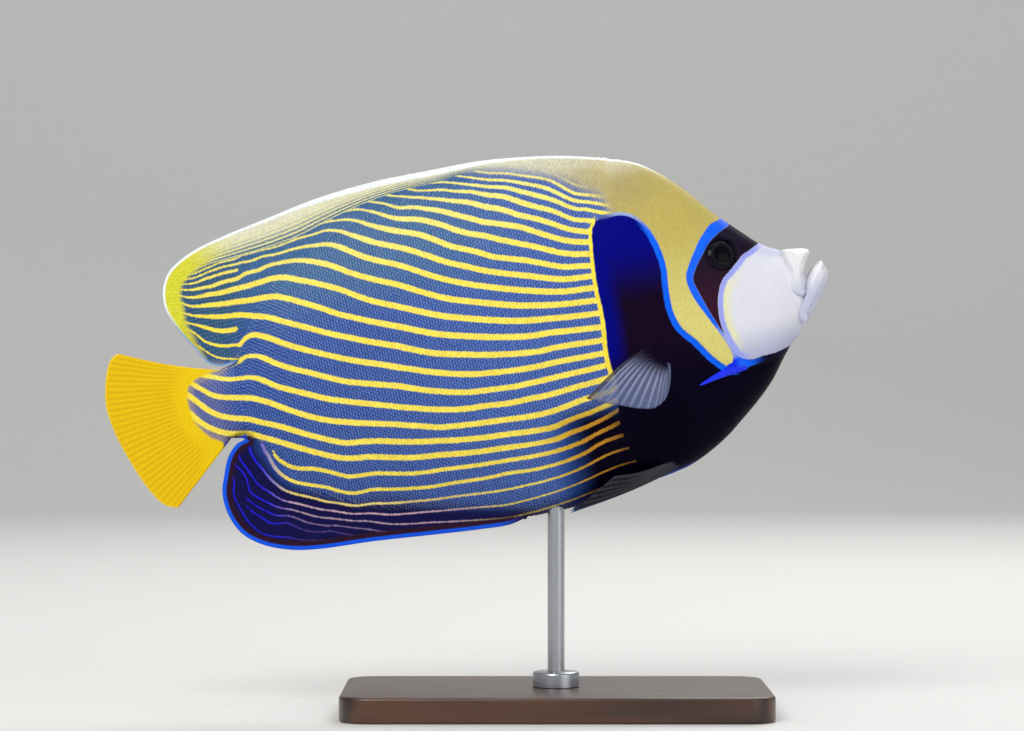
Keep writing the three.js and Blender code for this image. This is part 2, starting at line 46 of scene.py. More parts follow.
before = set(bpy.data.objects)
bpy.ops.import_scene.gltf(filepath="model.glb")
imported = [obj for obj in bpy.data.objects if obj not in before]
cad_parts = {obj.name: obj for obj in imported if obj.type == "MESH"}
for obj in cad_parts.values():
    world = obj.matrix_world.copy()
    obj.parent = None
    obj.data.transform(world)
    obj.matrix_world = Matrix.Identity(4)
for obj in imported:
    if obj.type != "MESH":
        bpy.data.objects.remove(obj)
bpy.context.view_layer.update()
MM = 0.001

# Pose of the fish over its stand
PITCH = math.radians(12)
ROD_STATION = 148  # u of the rod, just ahead of the anal fin
BELLY_HEIGHT = 94.5  # of the belly at the rod, above the floor

# Body outline without the fins: [u, height] of the back and of the belly
BACK = [
    [-8, 5], [-5, 10.5], [-1, 13.5], [8, 15], [14.5, 16.5], [19, 22], [25, 31], [34, 42.5], [44, 50.5],
    [57, 58], [74, 66], [92, 71], [121, 75], [155, 77], [184, 76], [206, 73.6], [218, 69.5], [227, 63.3],
    [236.6, 54.2], [246, 42.8], [251, 36.6], [256, 31.6], [261.5, 26], [267, 20.6], [272, 17.4],
    [277.5, 14.8], [283.5, 14.1], [288.5, 12.8], [290.5, 11], [294.4, 6.7], [296.3, 3], [296.9, 1],
]
BELLY = [
    [-8, -7], [-5, -12], [-1, -15.5], [8, -18], [13, -19.5], [17, -23], [21, -29.5], [27, -38],
    [37, -47.7], [52, -56.2], [70, -64], [90, -71], [112, -77], [130, -81], [140, -83], [157, -82.8],
    [178, -80], [197, -78], [212, -75.5], [228, -68.8], [245, -57.2], [260, -44.2], [267, -35.5],
    [273, -28.5], [279.5, -23], [284, -17.9], [289.7, -11.4], [292.7, -7.6], [295.2, -4.3], [296.9, -1.5],
]
HALF_WIDTH = [
    [-12, 0], [-8, 1.6], [-3, 3], [8, 4.8], [25, 7.6], [50, 11.8], [80, 16.4], [110, 20.2], [140, 23.2],
    [170, 25.4], [195, 26], [215, 25.4], [235, 22.8], [250, 19.6], [262, 16], [272, 12.4], [280, 10],
    [286, 8.8], [290, 7.2], [294, 5], [296.9, 1.8],
]

# How sharply a cross-section closes at the back and at the belly: 0.5 is round, 1 is an edge
BACK_EDGE = [[-8, 0.5], [10, 0.55], [30, 0.8], [180, 0.8], [215, 0.62], [250, 0.5], [297, 0.5]]
BELLY_EDGE = [[-8, 0.5], [10, 0.55], [30, 0.8], [120, 0.8], [150, 0.6], [190, 0.5], [297, 0.5]]
SECTION_POWER = 2.2
COAT_DEPTH = 0.2  # how far the skin lies inside the solids, for its scales

# Where the skin ends under the lips: its top, its bottom and its half width
SNOUT_TOP = [[266, 21.6], [272, 17.4], [276, 15.2], [279, 12.5], [282, 9.5], [285, 5], [287, 0]]
SNOUT_BOTTOM = [[267, -35.5], [273, -28.5], [279.5, -23], [282, -19.5], [284, -14.5], [286, -8], [287, -2]]
SNOUT_WIDTH = [[262, 16], [272, 12.4], [279, 9.5], [283, 7], [286, 3.4], [287, 0]]
SNOUT_END = SNOUT_WIDTH[-1][0]

# Fin margins, from the front of each fin to its rear
DORSAL_MARGIN = [
    [208, 73.1], [202, 75.3], [184, 80], [166, 83.2], [147, 85.4], [122, 86], [96, 86.2], [69, 84.2],
    [42, 79.5], [21.6, 75.8], [7.8, 72.4], [-2.5, 67.8], [-8.2, 63], [-11.6, 55], [-11.6, 46.7],
    [-6.8, 35], [-2, 26.8], [3, 18.8], [9, 16.4], [15, 17.1],
]
ANAL_MARGIN = [
    [136, -82.3], [126, -84.6], [111, -83.9], [87, -81.6], [61, -79], [35, -77.2], [22.5, -74.9],
    [10.4, -70], [1.6, -62.8], [-3, -52.7], [-3.6, -42], [-1.2, -34.6], [3, -25.5], [8.6, -20.4],
    [12.5, -19.4],
]
CAUDAL_MARGIN = [
    [-38, 32.3], [-41.6, 30.4], [-44.4, 26], [-47, 18.6], [-48.7, 8.4], [-47, -5], [-42.3, -20.6],
    [-36.3, -35], [-31, -42.2], [-25.4, -44.6],
]
CAUDAL_ROOT = [[7, 14.8], [1, 7.5], [-1, 0], [1, -9], [6, -17.7]]

# Where the two fins grow from the back and from the belly: u at their front and at their rear. START: where
# their thickness sets in
DORSAL_SPAN = (208, 15)
DORSAL_START = (209, 201)
ANAL_SPAN = (136, 12.5)
ANAL_START = (137, 131)

# Fins: half thickness at the root and at the margin, reach over which it thins, height of a ray's ridge, and
# how many rays
FINS = {
    "dorsal": {
        "root": 1.7, "edge": 0.4, "reach": 16.0, "ridge": 0.16, "spines": 14, "rays": 20, "spiny_share": 0.52,
    },
    "anal": {"root": 1.6, "edge": 0.4, "reach": 18.0, "ridge": 0.2, "rays": 22},
    "caudal": {"root": 1.5, "edge": 0.35, "reach": 44.0, "ridge": 0.09, "rays": 30},
}
RIM_RADIUS = 0.55  # of the rounding along the fins' margins
DORSAL, ANAL, CAUDAL = 1, 2, 3  # which fin a point of the skin belongs to, or is nearest to

# Columns of the skin along the body, [from, to, how many], along the tail's stem and down the tail fin.
# HEIGHT: a column's usual length there, which sets how its rows crowd towards its ends
SKIN_RUNS = [[15, 136, 138], [136, 205, 42], [205, 270, 56], [270, SNOUT_END, 22]]
STEM_COLUMNS = 14
STEM_HEIGHT = 33
STEM_LENGTH = 8.0
TAIL_COLUMNS = 46
CLOSE_COLUMNS = 3  # of the tail fin, that crowd together at its margin
TAIL_HEIGHT = 60
SKIN_ROWS = 140
MARGIN_STEPS = [0, 0.07, 0.24, 0.5, 1.0]  # mm from a margin, where the rim is rounded


# Colours as seen on a screen, 0 to 255, and what each one paints
PALETTE = {
    "flank_blue": (46, 84, 160, "flank between the stripes"),
    "flank_rear": (36, 74, 150, "rear flank between the stripes"),
    "upper_flank": (44, 92, 140, "upper rear flank between the stripes"),
    "lobe_ground": (44, 84, 118, "rear lobe of the dorsal fin between its stripes"),
    "stem_ground": (84, 92, 150, "tail stem between the stripes"),
    "nape_khaki": (174, 158, 100, "nape"),
    "nape_grey": (176, 168, 132, "nape beside the dorsal fin"),
    "stripe": (248, 224, 66, "stripes"),
    "stripe_pale": (240, 226, 112, "stripes of the upper flank"),
    "stripe_brown": (196, 138, 44, "ends of the lowest stripes"),
    "fin_grey": (86, 110, 124, "ground between the dorsal fin's fine lines"),
    "stripe_cream": (228, 222, 160, "fine lines of the dorsal fin"),
    "dorsal_cream": (222, 218, 190, "margin of the dorsal fin"),
    "dorsal_olive": (190, 178, 66, "lower end of the lobe's yellow band"),
    "dorsal_yellow": (216, 212, 44, "margin of the dorsal fin's rear lobe"),
    "dorsal_rim": (244, 250, 248, "edge of the dorsal fin"),
    "lobe_rim": (120, 170, 232, "rear edge of the dorsal fin's lobe"),
    "anal_navy": (4, 2, 66, "anal fin and lowest flank"),
    "anal_pink": (196, 164, 176, "front part of the anal fin's upper lines"),
    "anal_faint": (72, 52, 120, "front part of the anal fin's lower lines"),
    "anal_line": (26, 26, 220, "lines of the anal fin"),
    "anal_brown": (40, 8, 32, "band inside the anal fin's margin"),
    "anal_margin": (8, 84, 228, "margin of the anal fin"),
    "tail_root": (142, 130, 138, "root of the tail fin"),
    "tail_yellow": (236, 198, 6, "tail fin"),
    "tail_ray": (222, 174, 4, "tail fin between its rays"),
    "tail_rim": (250, 214, 60, "edge of the tail fin"),
    "ear_patch": (20, 6, 30, "dark patch behind the gill cover"),
    "ear_patch_blue": (2, 6, 122, "rear and top of the dark patch"),
    "chest": (6, 2, 22, "chest"),
    "belly_line": (20, 66, 176, "line along the belly"),
    "cover_khaki": (192, 174, 92, "gill cover, above"),
    "cover_yellow": (220, 208, 122, "gill cover, below"),
    "line_blue": (16, 100, 244, "lines of the head"),
    "line_pale": (150, 168, 222, "thin ends of the head's lines"),
    "mask": (28, 22, 40, "mask round the eye"),
    "mask_low": (56, 24, 42, "lower mask"),
    "face": (228, 228, 236, "face"),
    # Painted shade: the face greyer towards its lower edge
    "face_low": (184, 187, 214, "lower face"),
    "face_edge": (158, 166, 240, "edge of the face"),
    "face_yellow": (236, 232, 176, "tint behind the mouth"),
    "snout_top": (196, 198, 222, "top of the snout"),
    # Painted shadow in the gap under the face's lower edge, towards the chin
    "chin_dark": (10, 10, 44, "chin"),
    "lip": (236, 234, 236, "upper lip"),
    # Painted shade: the lips greyer towards the bottom
    "lip_low": (192, 194, 216, "lower lip"),
    "mouth": (58, 34, 44, "inside of the lips"),
    "pupil": (6, 5, 10, "pupil"),
    "iris": (20, 16, 26, "iris"),
    "iris_ring": (70, 62, 72, "ring round the pupil"),
    "cheek_spine": (0, 40, 236, "cheek spine"),
    "pectoral": (84, 96, 140, "pectoral fin"),
    "pectoral_root": (24, 12, 36, "root of the pectoral fin"),
    "pectoral_ray": (176, 180, 206, "rays of the pectoral fin"),
    "pelvic": (14, 10, 32, "pelvic fin"),
    "pelvic_edge": (26, 84, 190, "front edge of the pelvic fin"),
    "scale_edge": (226, 232, 240, "free edge of a scale"),
    "walnut": (84, 50, 29, "base"),
    "walnut_dark": (38, 20, 12, "dark grain of the base"),
    "steel": (176, 178, 182, "rod and collar"),
    "floor": (226, 224, 220, "studio floor"),
}


# Curves and distances
def through(points):
    """A smooth curve y(x) through the points that never overshoots them."""
    x, y = np.array(points, float).T
    h = np.diff(x)
    slope = np.diff(y) / h
    w1 = 2 * h[1:] + h[:-1]
    w2 = h[1:] + 2 * h[:-1]
    safe = np.where(slope[:-1] * slope[1:] > 0, slope[:-1] * slope[1:], 1)
    mean = (w1 + w2) * safe / (w1 * slope[1:] + w2 * slope[:-1] + 1e-12)
    tangent = np.zeros(len(x))
    tangent[1:-1] = np.where(slope[:-1] * slope[1:] > 0, mean, 0)
    tangent[0] = slope[0]
    tangent[-1] = slope[-1]

    def at(value):
        held = np.clip(value, x[0], x[-1])
        i = np.clip(np.searchsorted(x, held, side="right") - 1, 0, len(h) - 1)
        s = (held - x[i]) / h[i]
        rise = y[i] * (1 + 2 * s) * (1 - s) ** 2 + h[i] * tangent[i] * s * (1 - s) ** 2
        return rise + y[i + 1] * s * s * (3 - 2 * s) - h[i] * tangent[i + 1] * s * s * (1 - s)

    return at


def smooth_line(points, per_span=24):
    """A smooth line through points in a plane or in space, as many short steps."""
    p = np.array(points, float)
    p = np.vstack([2 * p[0] - p[1], p, 2 * p[-1] - p[-2]])
    gap = np.maximum(np.linalg.norm(np.diff(p, axis=0), axis=1) ** 0.5, 1e-6)[:, None]
    s = np.linspace(0, 1, per_span, endpoint=False)[:, None]
    spans = []
    for i in range(1, len(p) - 2):
        a, b, c = gap[i - 1], gap[i], gap[i + 1]
        start = ((p[i] - p[i - 1]) / a - (p[i + 1] - p[i - 1]) / (a + b) + (p[i + 1] - p[i]) / b) * b
        end = ((p[i + 1] - p[i]) / b - (p[i + 2] - p[i]) / (b + c) + (p[i + 2] - p[i + 1]) / c) * b
        spans.append(
            p[i] * (2 * s**3 - 3 * s**2 + 1) + start * (s**3 - 2 * s**2 + s)
            + p[i + 1] * (3 * s**2 - 2 * s**3) + end * (s**3 - s**2)
        )
    return np.vstack([*spans, p[-2]])


def run_along(line):
    """Distance along a line at each of its points."""
    return np.concatenate([[0], np.cumsum(np.linalg.norm(np.diff(line, axis=0), axis=1))])


def at_shares(line, shares):
    """Points at shares of a line's length."""
    run = run_along(line)
    at = np.array(shares) * run[-1]
    return np.stack([np.interp(at, run, line[:, k]) for k in range(line.shape[1])], -1)


def distance_to(line, u, v):
    """Distance to a side-view line, positive on the left of its direction."""
    if len(u) > 12000:
        half = len(u) // 2
        return np.concatenate([distance_to(line, u[:half], v[:half]), distance_to(line, u[half:], v[half:])])
    a = line[:-1]
    d = np.diff(line, axis=0)
    du = u[:, None] - a[:, 0]
    dv = v[:, None] - a[:, 1]
    t = np.clip((du * d[:, 0] + dv * d[:, 1]) / (d**2).sum(1), 0, 1)
    gap = np.hypot(du - t * d[:, 0], dv - t * d[:, 1])
    near = gap.argmin(1)
    row = np.arange(len(u))
    side = d[near, 0] * dv[row, near] - d[near, 1] * du[row, near]
    return gap[row, near] * np.where(side < 0, -1, 1)


def ramp(low, high, value):
    """0 below low, 1 above high, and smooth between. With low above high it falls."""
    s = np.clip((value - low) / (high - low), 0, 1)
    return s * s * (3 - 2 * s)


def smooth_max(a, b, blend):
    return (a + b + np.sqrt((a - b) ** 2 + blend**2)) / 2


# The body's own shape
back_at = through(BACK)
belly_at = through(BELLY)
width_at = through(HALF_WIDTH)
back_edge_at = through(BACK_EDGE)
belly_edge_at = through(BELLY_EDGE)
snout_top_at = through(SNOUT_TOP)
snout_bottom_at = through(SNOUT_BOTTOM)
snout_width_at = through(SNOUT_WIDTH)


def skin_top(u):
    """Upper edge of the skin without fins: the back, and under the lips the snout."""
    return np.where(u > SNOUT_TOP[0][0], np.minimum(back_at(u), snout_top_at(u)), back_at(u))


def skin_bottom(u):
    return np.where(u > SNOUT_BOTTOM[0][0], np.maximum(belly_at(u), snout_bottom_at(u)), belly_at(u))


TURN = np.array([[math.cos(PITCH), -math.sin(PITCH)], [math.sin(PITCH), math.cos(PITCH)]])
ROD_FOOT = TURN @ np.array([ROD_STATION, float(belly_at(ROD_STATION))])
SHIFT = np.array([0, BELLY_HEIGHT]) - ROD_FOOT


def to_part(points):
    """Fish-frame points (u, y, v) in millimetres, in the part's frame in metres."""
    p = np.array(points, float)
    xz = p[:, [0, 2]] @ TURN.T + SHIFT
    return np.column_stack([xz[:, 0], p[:, 1], xz[:, 1]]) * MM


def section_width(u, v, width, top, bottom):
    """Half the body's width at a height between its bottom and its top."""
    t = np.clip((2 * v - top - bottom) / (top - bottom), -1, 1)
    edge = np.where(t > 0, back_edge_at(u), belly_edge_at(u))
    return width * np.maximum(1 - np.abs(t) ** SECTION_POWER, 0) ** edge


def flank_width(u, v):
    """Half the plain body's width at a point of its side."""
    return section_width(u, v, width_at(u), back_at(u), belly_at(u))


# Markings: stripe number and points along its middle, chosen on the fish's side
FLANK_STRIPES = {
    19: [(142, 82), (150, 79), (165, 74.5), (177, 69.5), (187, 61), (198, 57)],
    17: [(123, 80), (140, 75.5), (156, 70.5), (168, 64.5), (180, 57.5), (191, 52)],
    16: [
        (110, 80.2), (115.7, 77.8), (126, 76), (140, 72), (154, 66.5), (168, 58.5), (185, 48.5), (193, 46),
    ],
    15: [
        (101, 78.8), (109, 76.4), (116, 74.5), (128, 70.5), (145, 63.5), (160, 56), (173, 49.5),
        (190, 41.5),
    ],
    14: [
        (93.4, 77.2), (99.5, 74.9), (105, 72), (117, 68.8), (132, 62), (143, 56.5), (159, 50.5),
        (177, 40.5), (188, 37),
    ],
    13: [
        (80, 75.5), (87, 74.9), (93, 72.4), (100.5, 68.3), (113, 64.3), (124, 59), (142, 50), (157, 43),
        (171, 36.5), (187, 31.5),
    ],
    12: [
        (41, 68.5), (54, 70.5), (67, 72), (80, 71.5), (89, 67.5), (99, 62.4), (111, 57.6), (125, 49),
        (144, 39.5), (160, 34), (175, 28), (187, 26),
    ],
    11: [
        (30, 65.3), (40, 65.8), (56, 67.5), (69, 68.5), (80, 64.5), (91, 58), (108, 50), (130, 38),
        (144, 32), (159, 27), (187, 21),
    ],
    10: [
        (27, 62), (38, 62.7), (51, 63), (65, 62.5), (78, 57), (100, 45), (113, 37.5), (141, 25.5),
        (157, 20.5), (187, 15.5),
    ],
    9: [
        (11, 54), (23, 55), (35, 57), (50, 58), (64, 54), (76, 47), (98, 36), (119, 25), (135, 19.5),
        (152, 14.5), (168, 11.5), (187, 9.5),
    ],
    8: [
        (10, 50.5), (23, 50.5), (38, 51.5), (52, 48.5), (72, 39), (85, 31), (96, 26), (126, 14), (158, 6.5),
        (187, 3.5),
    ],
    7: [
        (0, 47), (13, 45), (26, 44), (40, 43), (54, 36.5), (68, 28.5), (94, 17), (124, 6), (143, 1.5),
        (161, -0.5), (187, -3),
    ],
    6: [
        (3, 41.5), (14, 39), (22, 38), (29, 36), (41, 31), (54, 24.5), (70, 17), (92, 8), (106, 2),
        (123, -2.5), (157, -8), (187, -9),
    ],
    5: [
        (18, 24), (21, 26), (25, 27.5), (39, 21), (62, 9.5), (90, -1.5), (124, -12), (141, -14),
        (160, -14.5), (186, -15),
    ],
    4: [
        (17, 16.5), (20, 18), (33, 13), (48, 5), (65, -3), (88, -10), (122, -20), (142, -21.5), (178, -21),
        (187, -20.5),
    ],
    3: [
        (-2, 14.5), (4, 12), (20, 8.5), (32, 2), (46, -5), (63, -12), (86, -19.5), (106, -25), (126, -27.5),
        (147, -28.5), (185, -26.5),
    ],
    2: [
        (-8, 12.5), (1, 4.5), (10, 1), (20, -1.5), (28, -5.5), (45, -15.5), (61, -21.5), (84, -27.5),
        (104, -33), (124, -35), (144, -36.5), (172, -34), (187, -32),
    ],
    1: [
        (-9, 5.5), (2, -5.5), (12, -9.5), (22, -13.5), (41, -23), (59, -31), (83, -35.5), (102, -39),
        (125, -42), (156, -43.5), (174, -40.5), (183, -38.5),
    ],
    0: [
        (-11, -2), (-6, -8), (6, -15.5), (15, -17.5), (27, -23.5), (44, -32.5), (67, -39.5), (80, -42.5),
        (100, -45.5), (130, -48.5), (162, -48), (187, -42),
    ],
    -1: [
        (24, -29), (40, -39.5), (56, -46.5), (70, -48), (100, -52.5), (130, -54.5), (169, -52.5),
        (187, -47.5),
    ],
    -2: [
        (19.5, -21), (21.5, -30), (24.5, -38), (33, -45), (46, -50), (65, -55), (95, -59.5), (130, -60.5),
        (174, -56), (187, -54),
    ],
    -3: [
        (13, -19), (13.5, -26), (18, -36.5), (25, -46.5), (34, -51.5), (44, -56.4), (57, -61), (70, -62.6),
        (100, -66), (130, -68), (160, -66),
    ],
    -4: [
        (8, -25), (11, -35.5), (18, -46), (24, -51.5), (44, -60.5), (54, -64.2), (70, -68), (95, -71.5),
        (125, -75),
    ],
    -5: [(5, -30.5), (9, -41.5), (16, -50.5), (24, -55.5), (43, -64), (60, -69), (90, -76), (115, -80)],
    -6: [(5.5, -44), (12, -52.5), (20, -58), (32, -63.5), (42, -67.5), (60, -73)],
    -7: [(7, -51.5), (11.5, -56.5), (23, -62), (42, -70)],
    -8: [(3, -36.5), (2, -47), (5, -56.5), (9.5, -63.5), (19, -68), (26, -70.5), (40, -74)],
}
# The rear lobe of the dorsal fin has stripes of its own, some of which end where the lobe begins
LOBE_STRIPES = {
    13: [(4, 63.5), (13, 65), (22, 66.5), (41, 68.5), (54, 70.5)],
    12: [(1, 62), (17, 64), (30, 65.3), (40, 65.8), (56, 67.5)],
    11: [(0, 60), (12, 61), (27, 62), (38, 62.7), (51, 63)],
    10: [(0, 57.5), (9, 58), (21, 59), (30, 60)],
    9: [(-1, 55), (11, 54), (23, 55), (35, 57), (50, 58)],
    8: [(-1, 51.5), (10, 50.5), (23, 50.5), (38, 51.5)],
    7: [(-5, 50), (0, 47), (13, 45), (26, 44), (40, 43)],
    6: [(-4.5, 45), (3, 41.5), (14, 39), (22, 38), (29, 36), (41, 31)],
    5: [(-3, 39.5), (6, 35), (15, 32), (22, 31.5)],
    4: [(-3.5, 36.5), (3, 29.5), (8, 26.5), (19, 24.5)],
    3: [(1, 26.5), (7, 21), (17, 18)],
}
LOBE_EDGE = [(40, 110), (27, 62), (22, 36), (18.4, 26), (17, 17), (-30, 15)]
ANAL_EDGE = [
    (-30, -16), (5, -18.6), (12, -19.4), (20, -22.6), (32, -29.8), (46, -38), (62, -43.5), (90, -47.5),
    (200, -53),
]

# Lines of the head and chest, listed from the top down, so that distances are positive in front of them
STRIPE_FRONT = [
    (200, 90), (197, 60), (193.7, 46), (191.4, 42), (189.4, 30), (188.2, 16.5), (188.2, 0), (186.6, -16),
    (187.2, -26), (188, -31), (186.1, -42), (185.5, -48), (186, -55), (189, -66), (197, -84),
]
EAR_PATCH_EDGE = [
    (170, 42), (188, 44), (193.7, 45.6), (201.7, 47.2), (207.4, 46.5), (212.5, 43.4), (217, 37.1),
    (219.9, 28.4), (221, 17.7), (220, 7.4), (219.8, -1.8), (222, -10.5), (228.4, -18.8), (233.7, -26.9),
    (239.2, -32.8), (243, -35), (247, -35.2), (252, -34.7), (258.7, -33.6), (266, -32.2), (272, -30.4),
    (290, -24),
]
FRONT_LINE_REAR = [
    (262, 50), (251.6, 35.5), (246.3, 33.6), (242.6, 30.6), (238.7, 26.6), (235.2, 21.8), (231.6, 16.4),
    (229.4, 12), (229.5, 6.5), (231.6, -0.7), (234.1, -6.1), (243.1, -27.2), (242.5, -31.2),
    (239.2, -32.8), (238, -36), (236, -60),
]
FRONT_LINE_FRONT = [
    (262, 40), (255.4, 31.9), (249, 28.8), (244, 25.5), (239.2, 20.4), (234.6, 14.6), (232.3, 10.2),
    (233, 5.7), (235.1, -1.4), (237.8, -9.4), (240.9, -17.4), (244.6, -26), (246.2, -29.5), (250, -36),
    (252, -60),
]
FACE_EDGE = [
    (275, 26), (266.8, 20.3), (262, 18), (258, 16.4), (254.3, 13.5), (250.6, 10.6), (246.2, 7.2),
    (243.5, 2.9), (241.6, -2.8), (240.7, -10), (241.1, -16.2), (243.3, -24), (246, -29.5), (251.4, -32),
    (257.6, -31.6), (263.7, -31.3), (270, -30), (282, -27),
]
NAPE_EDGE = [
    (100, 94), (128, 88), (146, 82), (162, 77.5), (178, 71), (190, 63), (199, 55), (204, 46), (206, 30),
    (207, -90),
]
TAIL_EDGE = [
    (-40, 62), (-14, 31), (-5, 22), (8, 15.4), (0, 13.8), (-7, 11.4), (-9.8, 7), (-10.2, 1), (-9.8, -4.5),
    (-7, -10.5), (-3, -15.5), (2, -19.4), (-4, -29), (-10, -42), (-30, -70),
]
EDGE_LINES = {  # the lines above, by the name of the field that holds the distance to each
    "stripe_front": STRIPE_FRONT, "ear_edge": EAR_PATCH_EDGE, "front_line_rear": FRONT_LINE_REAR,
    "front_line_front": FRONT_LINE_FRONT, "face_edge": FACE_EDGE, "tail_edge": TAIL_EDGE,
}

# Fine lines along the dorsal fin's margin: how many, and how deep their band is along the fish
FINE_LINE_COUNT = 7
FINE_LINE_DEPTH = [
    [-12, 5.5], [-5, 6.5], [5, 7.5], [13, 9], [25, 11], [40, 12.5], [55, 13.2], [67, 12], [80, 10],
    [94, 8], [110, 6.5], [125, 6], [142, 4.4], [160, 4], [230, 4],
]

# Half width of the anal fin's lines by their number, from the outermost to the one on the flank
ANAL_LINE_NUMBERS = [-8, -5, -4, -3, -2, -1, 0]
ANAL_LINE_HALVES = [0.28, 0.32, 0.36, 0.5, 0.8, 0.95, 1.1]
WIDEST_PITCH = 14  # no two stripes lie further apart


class StripeField:
    """A smooth map over the fish's side that takes each stripe's number along that stripe."""

    def __init__(self, stripes, stiffness=0.8):
        points = [(u / 100, v / 100, number) for number, line in stripes.items() for u, v in line]
        self.u, self.v, number = np.array(points, float).T
        size = len(number)
        system = np.zeros((size + 3, size + 3))
        system[:size, :size] = self.bend(self.u, self.v) + stiffness * 1e-4 * np.eye(size)
        flat = np.stack([np.ones(size), self.u, self.v], 1)
        system[:size, size:] = flat
        system[size:, :size] = flat.T
        self.weights = np.linalg.solve(system, np.concatenate([number, [0, 0, 0]]))

    def bend(self, u, v):
        squared = (u[:, None] - self.u) ** 2 + (v[:, None] - self.v) ** 2
        return squared * np.log(squared + 1e-12) / 2

    def at(self, u, v):
        u, v = u / 100, v / 100
        parts = []
        for k in range(0, len(u), 8000):
            a, b = u[k : k + 8000], v[k : k + 8000]
            flat = self.weights[-3] + self.weights[-2] * a + self.weights[-1] * b
            parts.append(self.bend(a, b) @ self.weights[:-3] + flat)
        return np.concatenate(parts)

    def with_pitch(self, u, v):
        """Stripe numbers, and the distance between stripes in mm."""
        here = self.at(u, v)
        step = 0.6
        slope = np.hypot(self.at(u + step, v) - here, self.at(u, v + step) - here) / step
        return here, 1 / np.maximum(slope, 0.02)


def stripe_fields():
    """Stripe maps of the flank, of the dorsal fin's rear lobe and of the anal fin.

    The lowest stripes belong to the anal fin. Further forwards both maps hold them, so that they agree there.
    """
    flank = {n: [p for p in line if n >= 0 or p[0] >= 60] for n, line in FLANK_STRIPES.items()}
    anal = {n: line for n, line in FLANK_STRIPES.items() if n < 0}
    anal[0] = [p for p in FLANK_STRIPES[0] if p[0] >= 40]
    parts = {"flank": flank, "lobe": LOBE_STRIPES, "anal": anal}
    return {name: StripeField({n: line for n, line in part.items() if line}) for name, part in parts.items()}


STRIPE_FIELDS = stripe_fields()


def stripe_halves(u, v, fields, fine):
    """Half the stripes' width: widest on the middle of the flank and thinnest by the fins' margins."""
    low = fields["anal_stripe"]
    half = 0.42 + 0.9 * ramp(0, 18, fields["dorsal_rim"] - fine * ramp(34, 58, v))
    half *= 1 - 0.4 * ramp(162, 195, u) * ramp(40, 54, v)
    half *= 1 - 0.28 * ramp(30, -5, u) * ramp(14, 22, v)
    half *= 1 - 0.35 * ramp(150, 178, u) * ramp(-36, -44, v)
    below_lobe = np.maximum(half, 0.98 * ramp(45, 25, v) * ramp(150, 60, u))
    half = np.where(fields["lobe_side"] < 0, below_lobe, half)
    anal_half = np.interp(low, ANAL_LINE_NUMBERS, ANAL_LINE_HALVES)
    half = np.where((fields["anal_side"] > 0) & (low < 0.5), anal_half, half)
    return half + 0.12 * ramp(60, 100, u) * ramp(30, 0, np.abs(v - 10)) * (1 - ramp(150, 190, u))


def stripe_presence(u, v, fields):
    """1 where stripes show. They fade at the nape and the chest, and some end short of the fins' edges."""
    low, on_anal = fields["anal_stripe"], fields["anal_side"]
    presence = 1 - ramp(0.35, 1, fields["nape"])
    presence *= 1 - 0.65 * ramp(174, 187, u) * ramp(-34, -44, v)
    short = (on_anal < 0.4) & (fields["flank_stripe"] < -0.6) & (u < 56)
    outer = (low > -7.6) & (low < -5.4) & (u < 7)
    first = (low > -1.55) & ((u < 24.5) | (u < 28) & (v > -27.6))
    top = (low > -0.6) & (u < 46)
    short |= (on_anal > 0) & (outer | first | top)
    short |= (np.abs(u - 29.8) < 3.1) & (np.abs(v + 30.3) < 1.3)  # where the two maps meet between stripes
    return np.where(short, 0, presence)


def marking_fields(u, v, share=None):
    """Everything that the skin's colours need at points of the fish's side. Shares count the tail's rays."""
    fields = {"along": u, "height": v, "belly_line": np.minimum(v - belly_at(u), 60)}
    for part, stripes in STRIPE_FIELDS.items():
        fields[f"{part}_stripe"], pitch = stripes.with_pitch(u, v)
        fields[f"{part}_pitch"] = np.minimum(pitch, WIDEST_PITCH)
    for name, points in EDGE_LINES.items():
        fields[name] = distance_to(line_of(points), u, v)
    fields["anal_side"] = -distance_to(line_of(ANAL_EDGE), u, v)
    fields["lobe_side"] = -distance_to(line_of(LOBE_EDGE), u, v)
    fields["lobe"] = ramp(-6, 8, fields["lobe_side"])
    fields["nape"] = ramp(-5, 5, distance_to(line_of(NAPE_EDGE), u, v))
    fields["low_front"] = ramp(140, 172, u) * ramp(-34, -46, v)

    # Distances to the fins' rims: the dorsal one's counts only near the fin, and runs on along the nape
    over = v - back_at(u)
    rim = np.abs(distance_to(line_of(DORSAL_MARGIN), u, v)) + 2 * np.maximum(-over - 30, 0)
    fields["dorsal_rim"] = np.where(u > DORSAL_SPAN[0], -over, rim)
    fields["anal_rim"] = np.abs(distance_to(line_of(ANAL_MARGIN), u, v))
    fields["tail_rim"] = np.abs(distance_to(line_of(CAUDAL_MARGIN), u, v))

    # The anal fin's own colours reach a little way up the flank, least where its upper stripes are yellow
    under = belly_at(u) - v
    anal = ramp(-7, 1.5, under) * ramp(150, 120, u) * ramp(4, 8, u + 0.9 * under)
    yellow = ramp(-5, -2.5, fields["anal_stripe"]) * ramp(22, 30, u) * ramp(3, -12, under - 12)
    fields["anal"] = anal * (1 - 0.75 * yellow)

    # Down the lobe's rear edge the dorsal fin's coloured margin narrows to nothing
    rear = ramp(32, 8, u)
    fields["rim_band"] = 8.7 - rear * (4.2 * ramp(50, 36, v) + 2.3 * ramp(36, 26, v) + 2.2 * ramp(26, 17, v))
    fields["fin_top"] = ramp(-16, -2, over + 8 * ramp(40, 0, u)) * (1 - rear * ramp(24, 16, v))
    fine = through(FINE_LINE_DEPTH)(u)
    fields["fine_share"] = fields["dorsal_rim"] / fine

    fields["stripe_half"] = stripe_halves(u, v, fields, fine)
    fields["stripe_presence"] = stripe_presence(u, v, fields)
    place = FINS["caudal"]["rays"] * (0 * u + 0.5 if share is None else share)
    fields["tail_ray"] = 1 - np.exp(-(((place - np.floor(place) - 0.5) / 0.26) ** 2))
    return fields


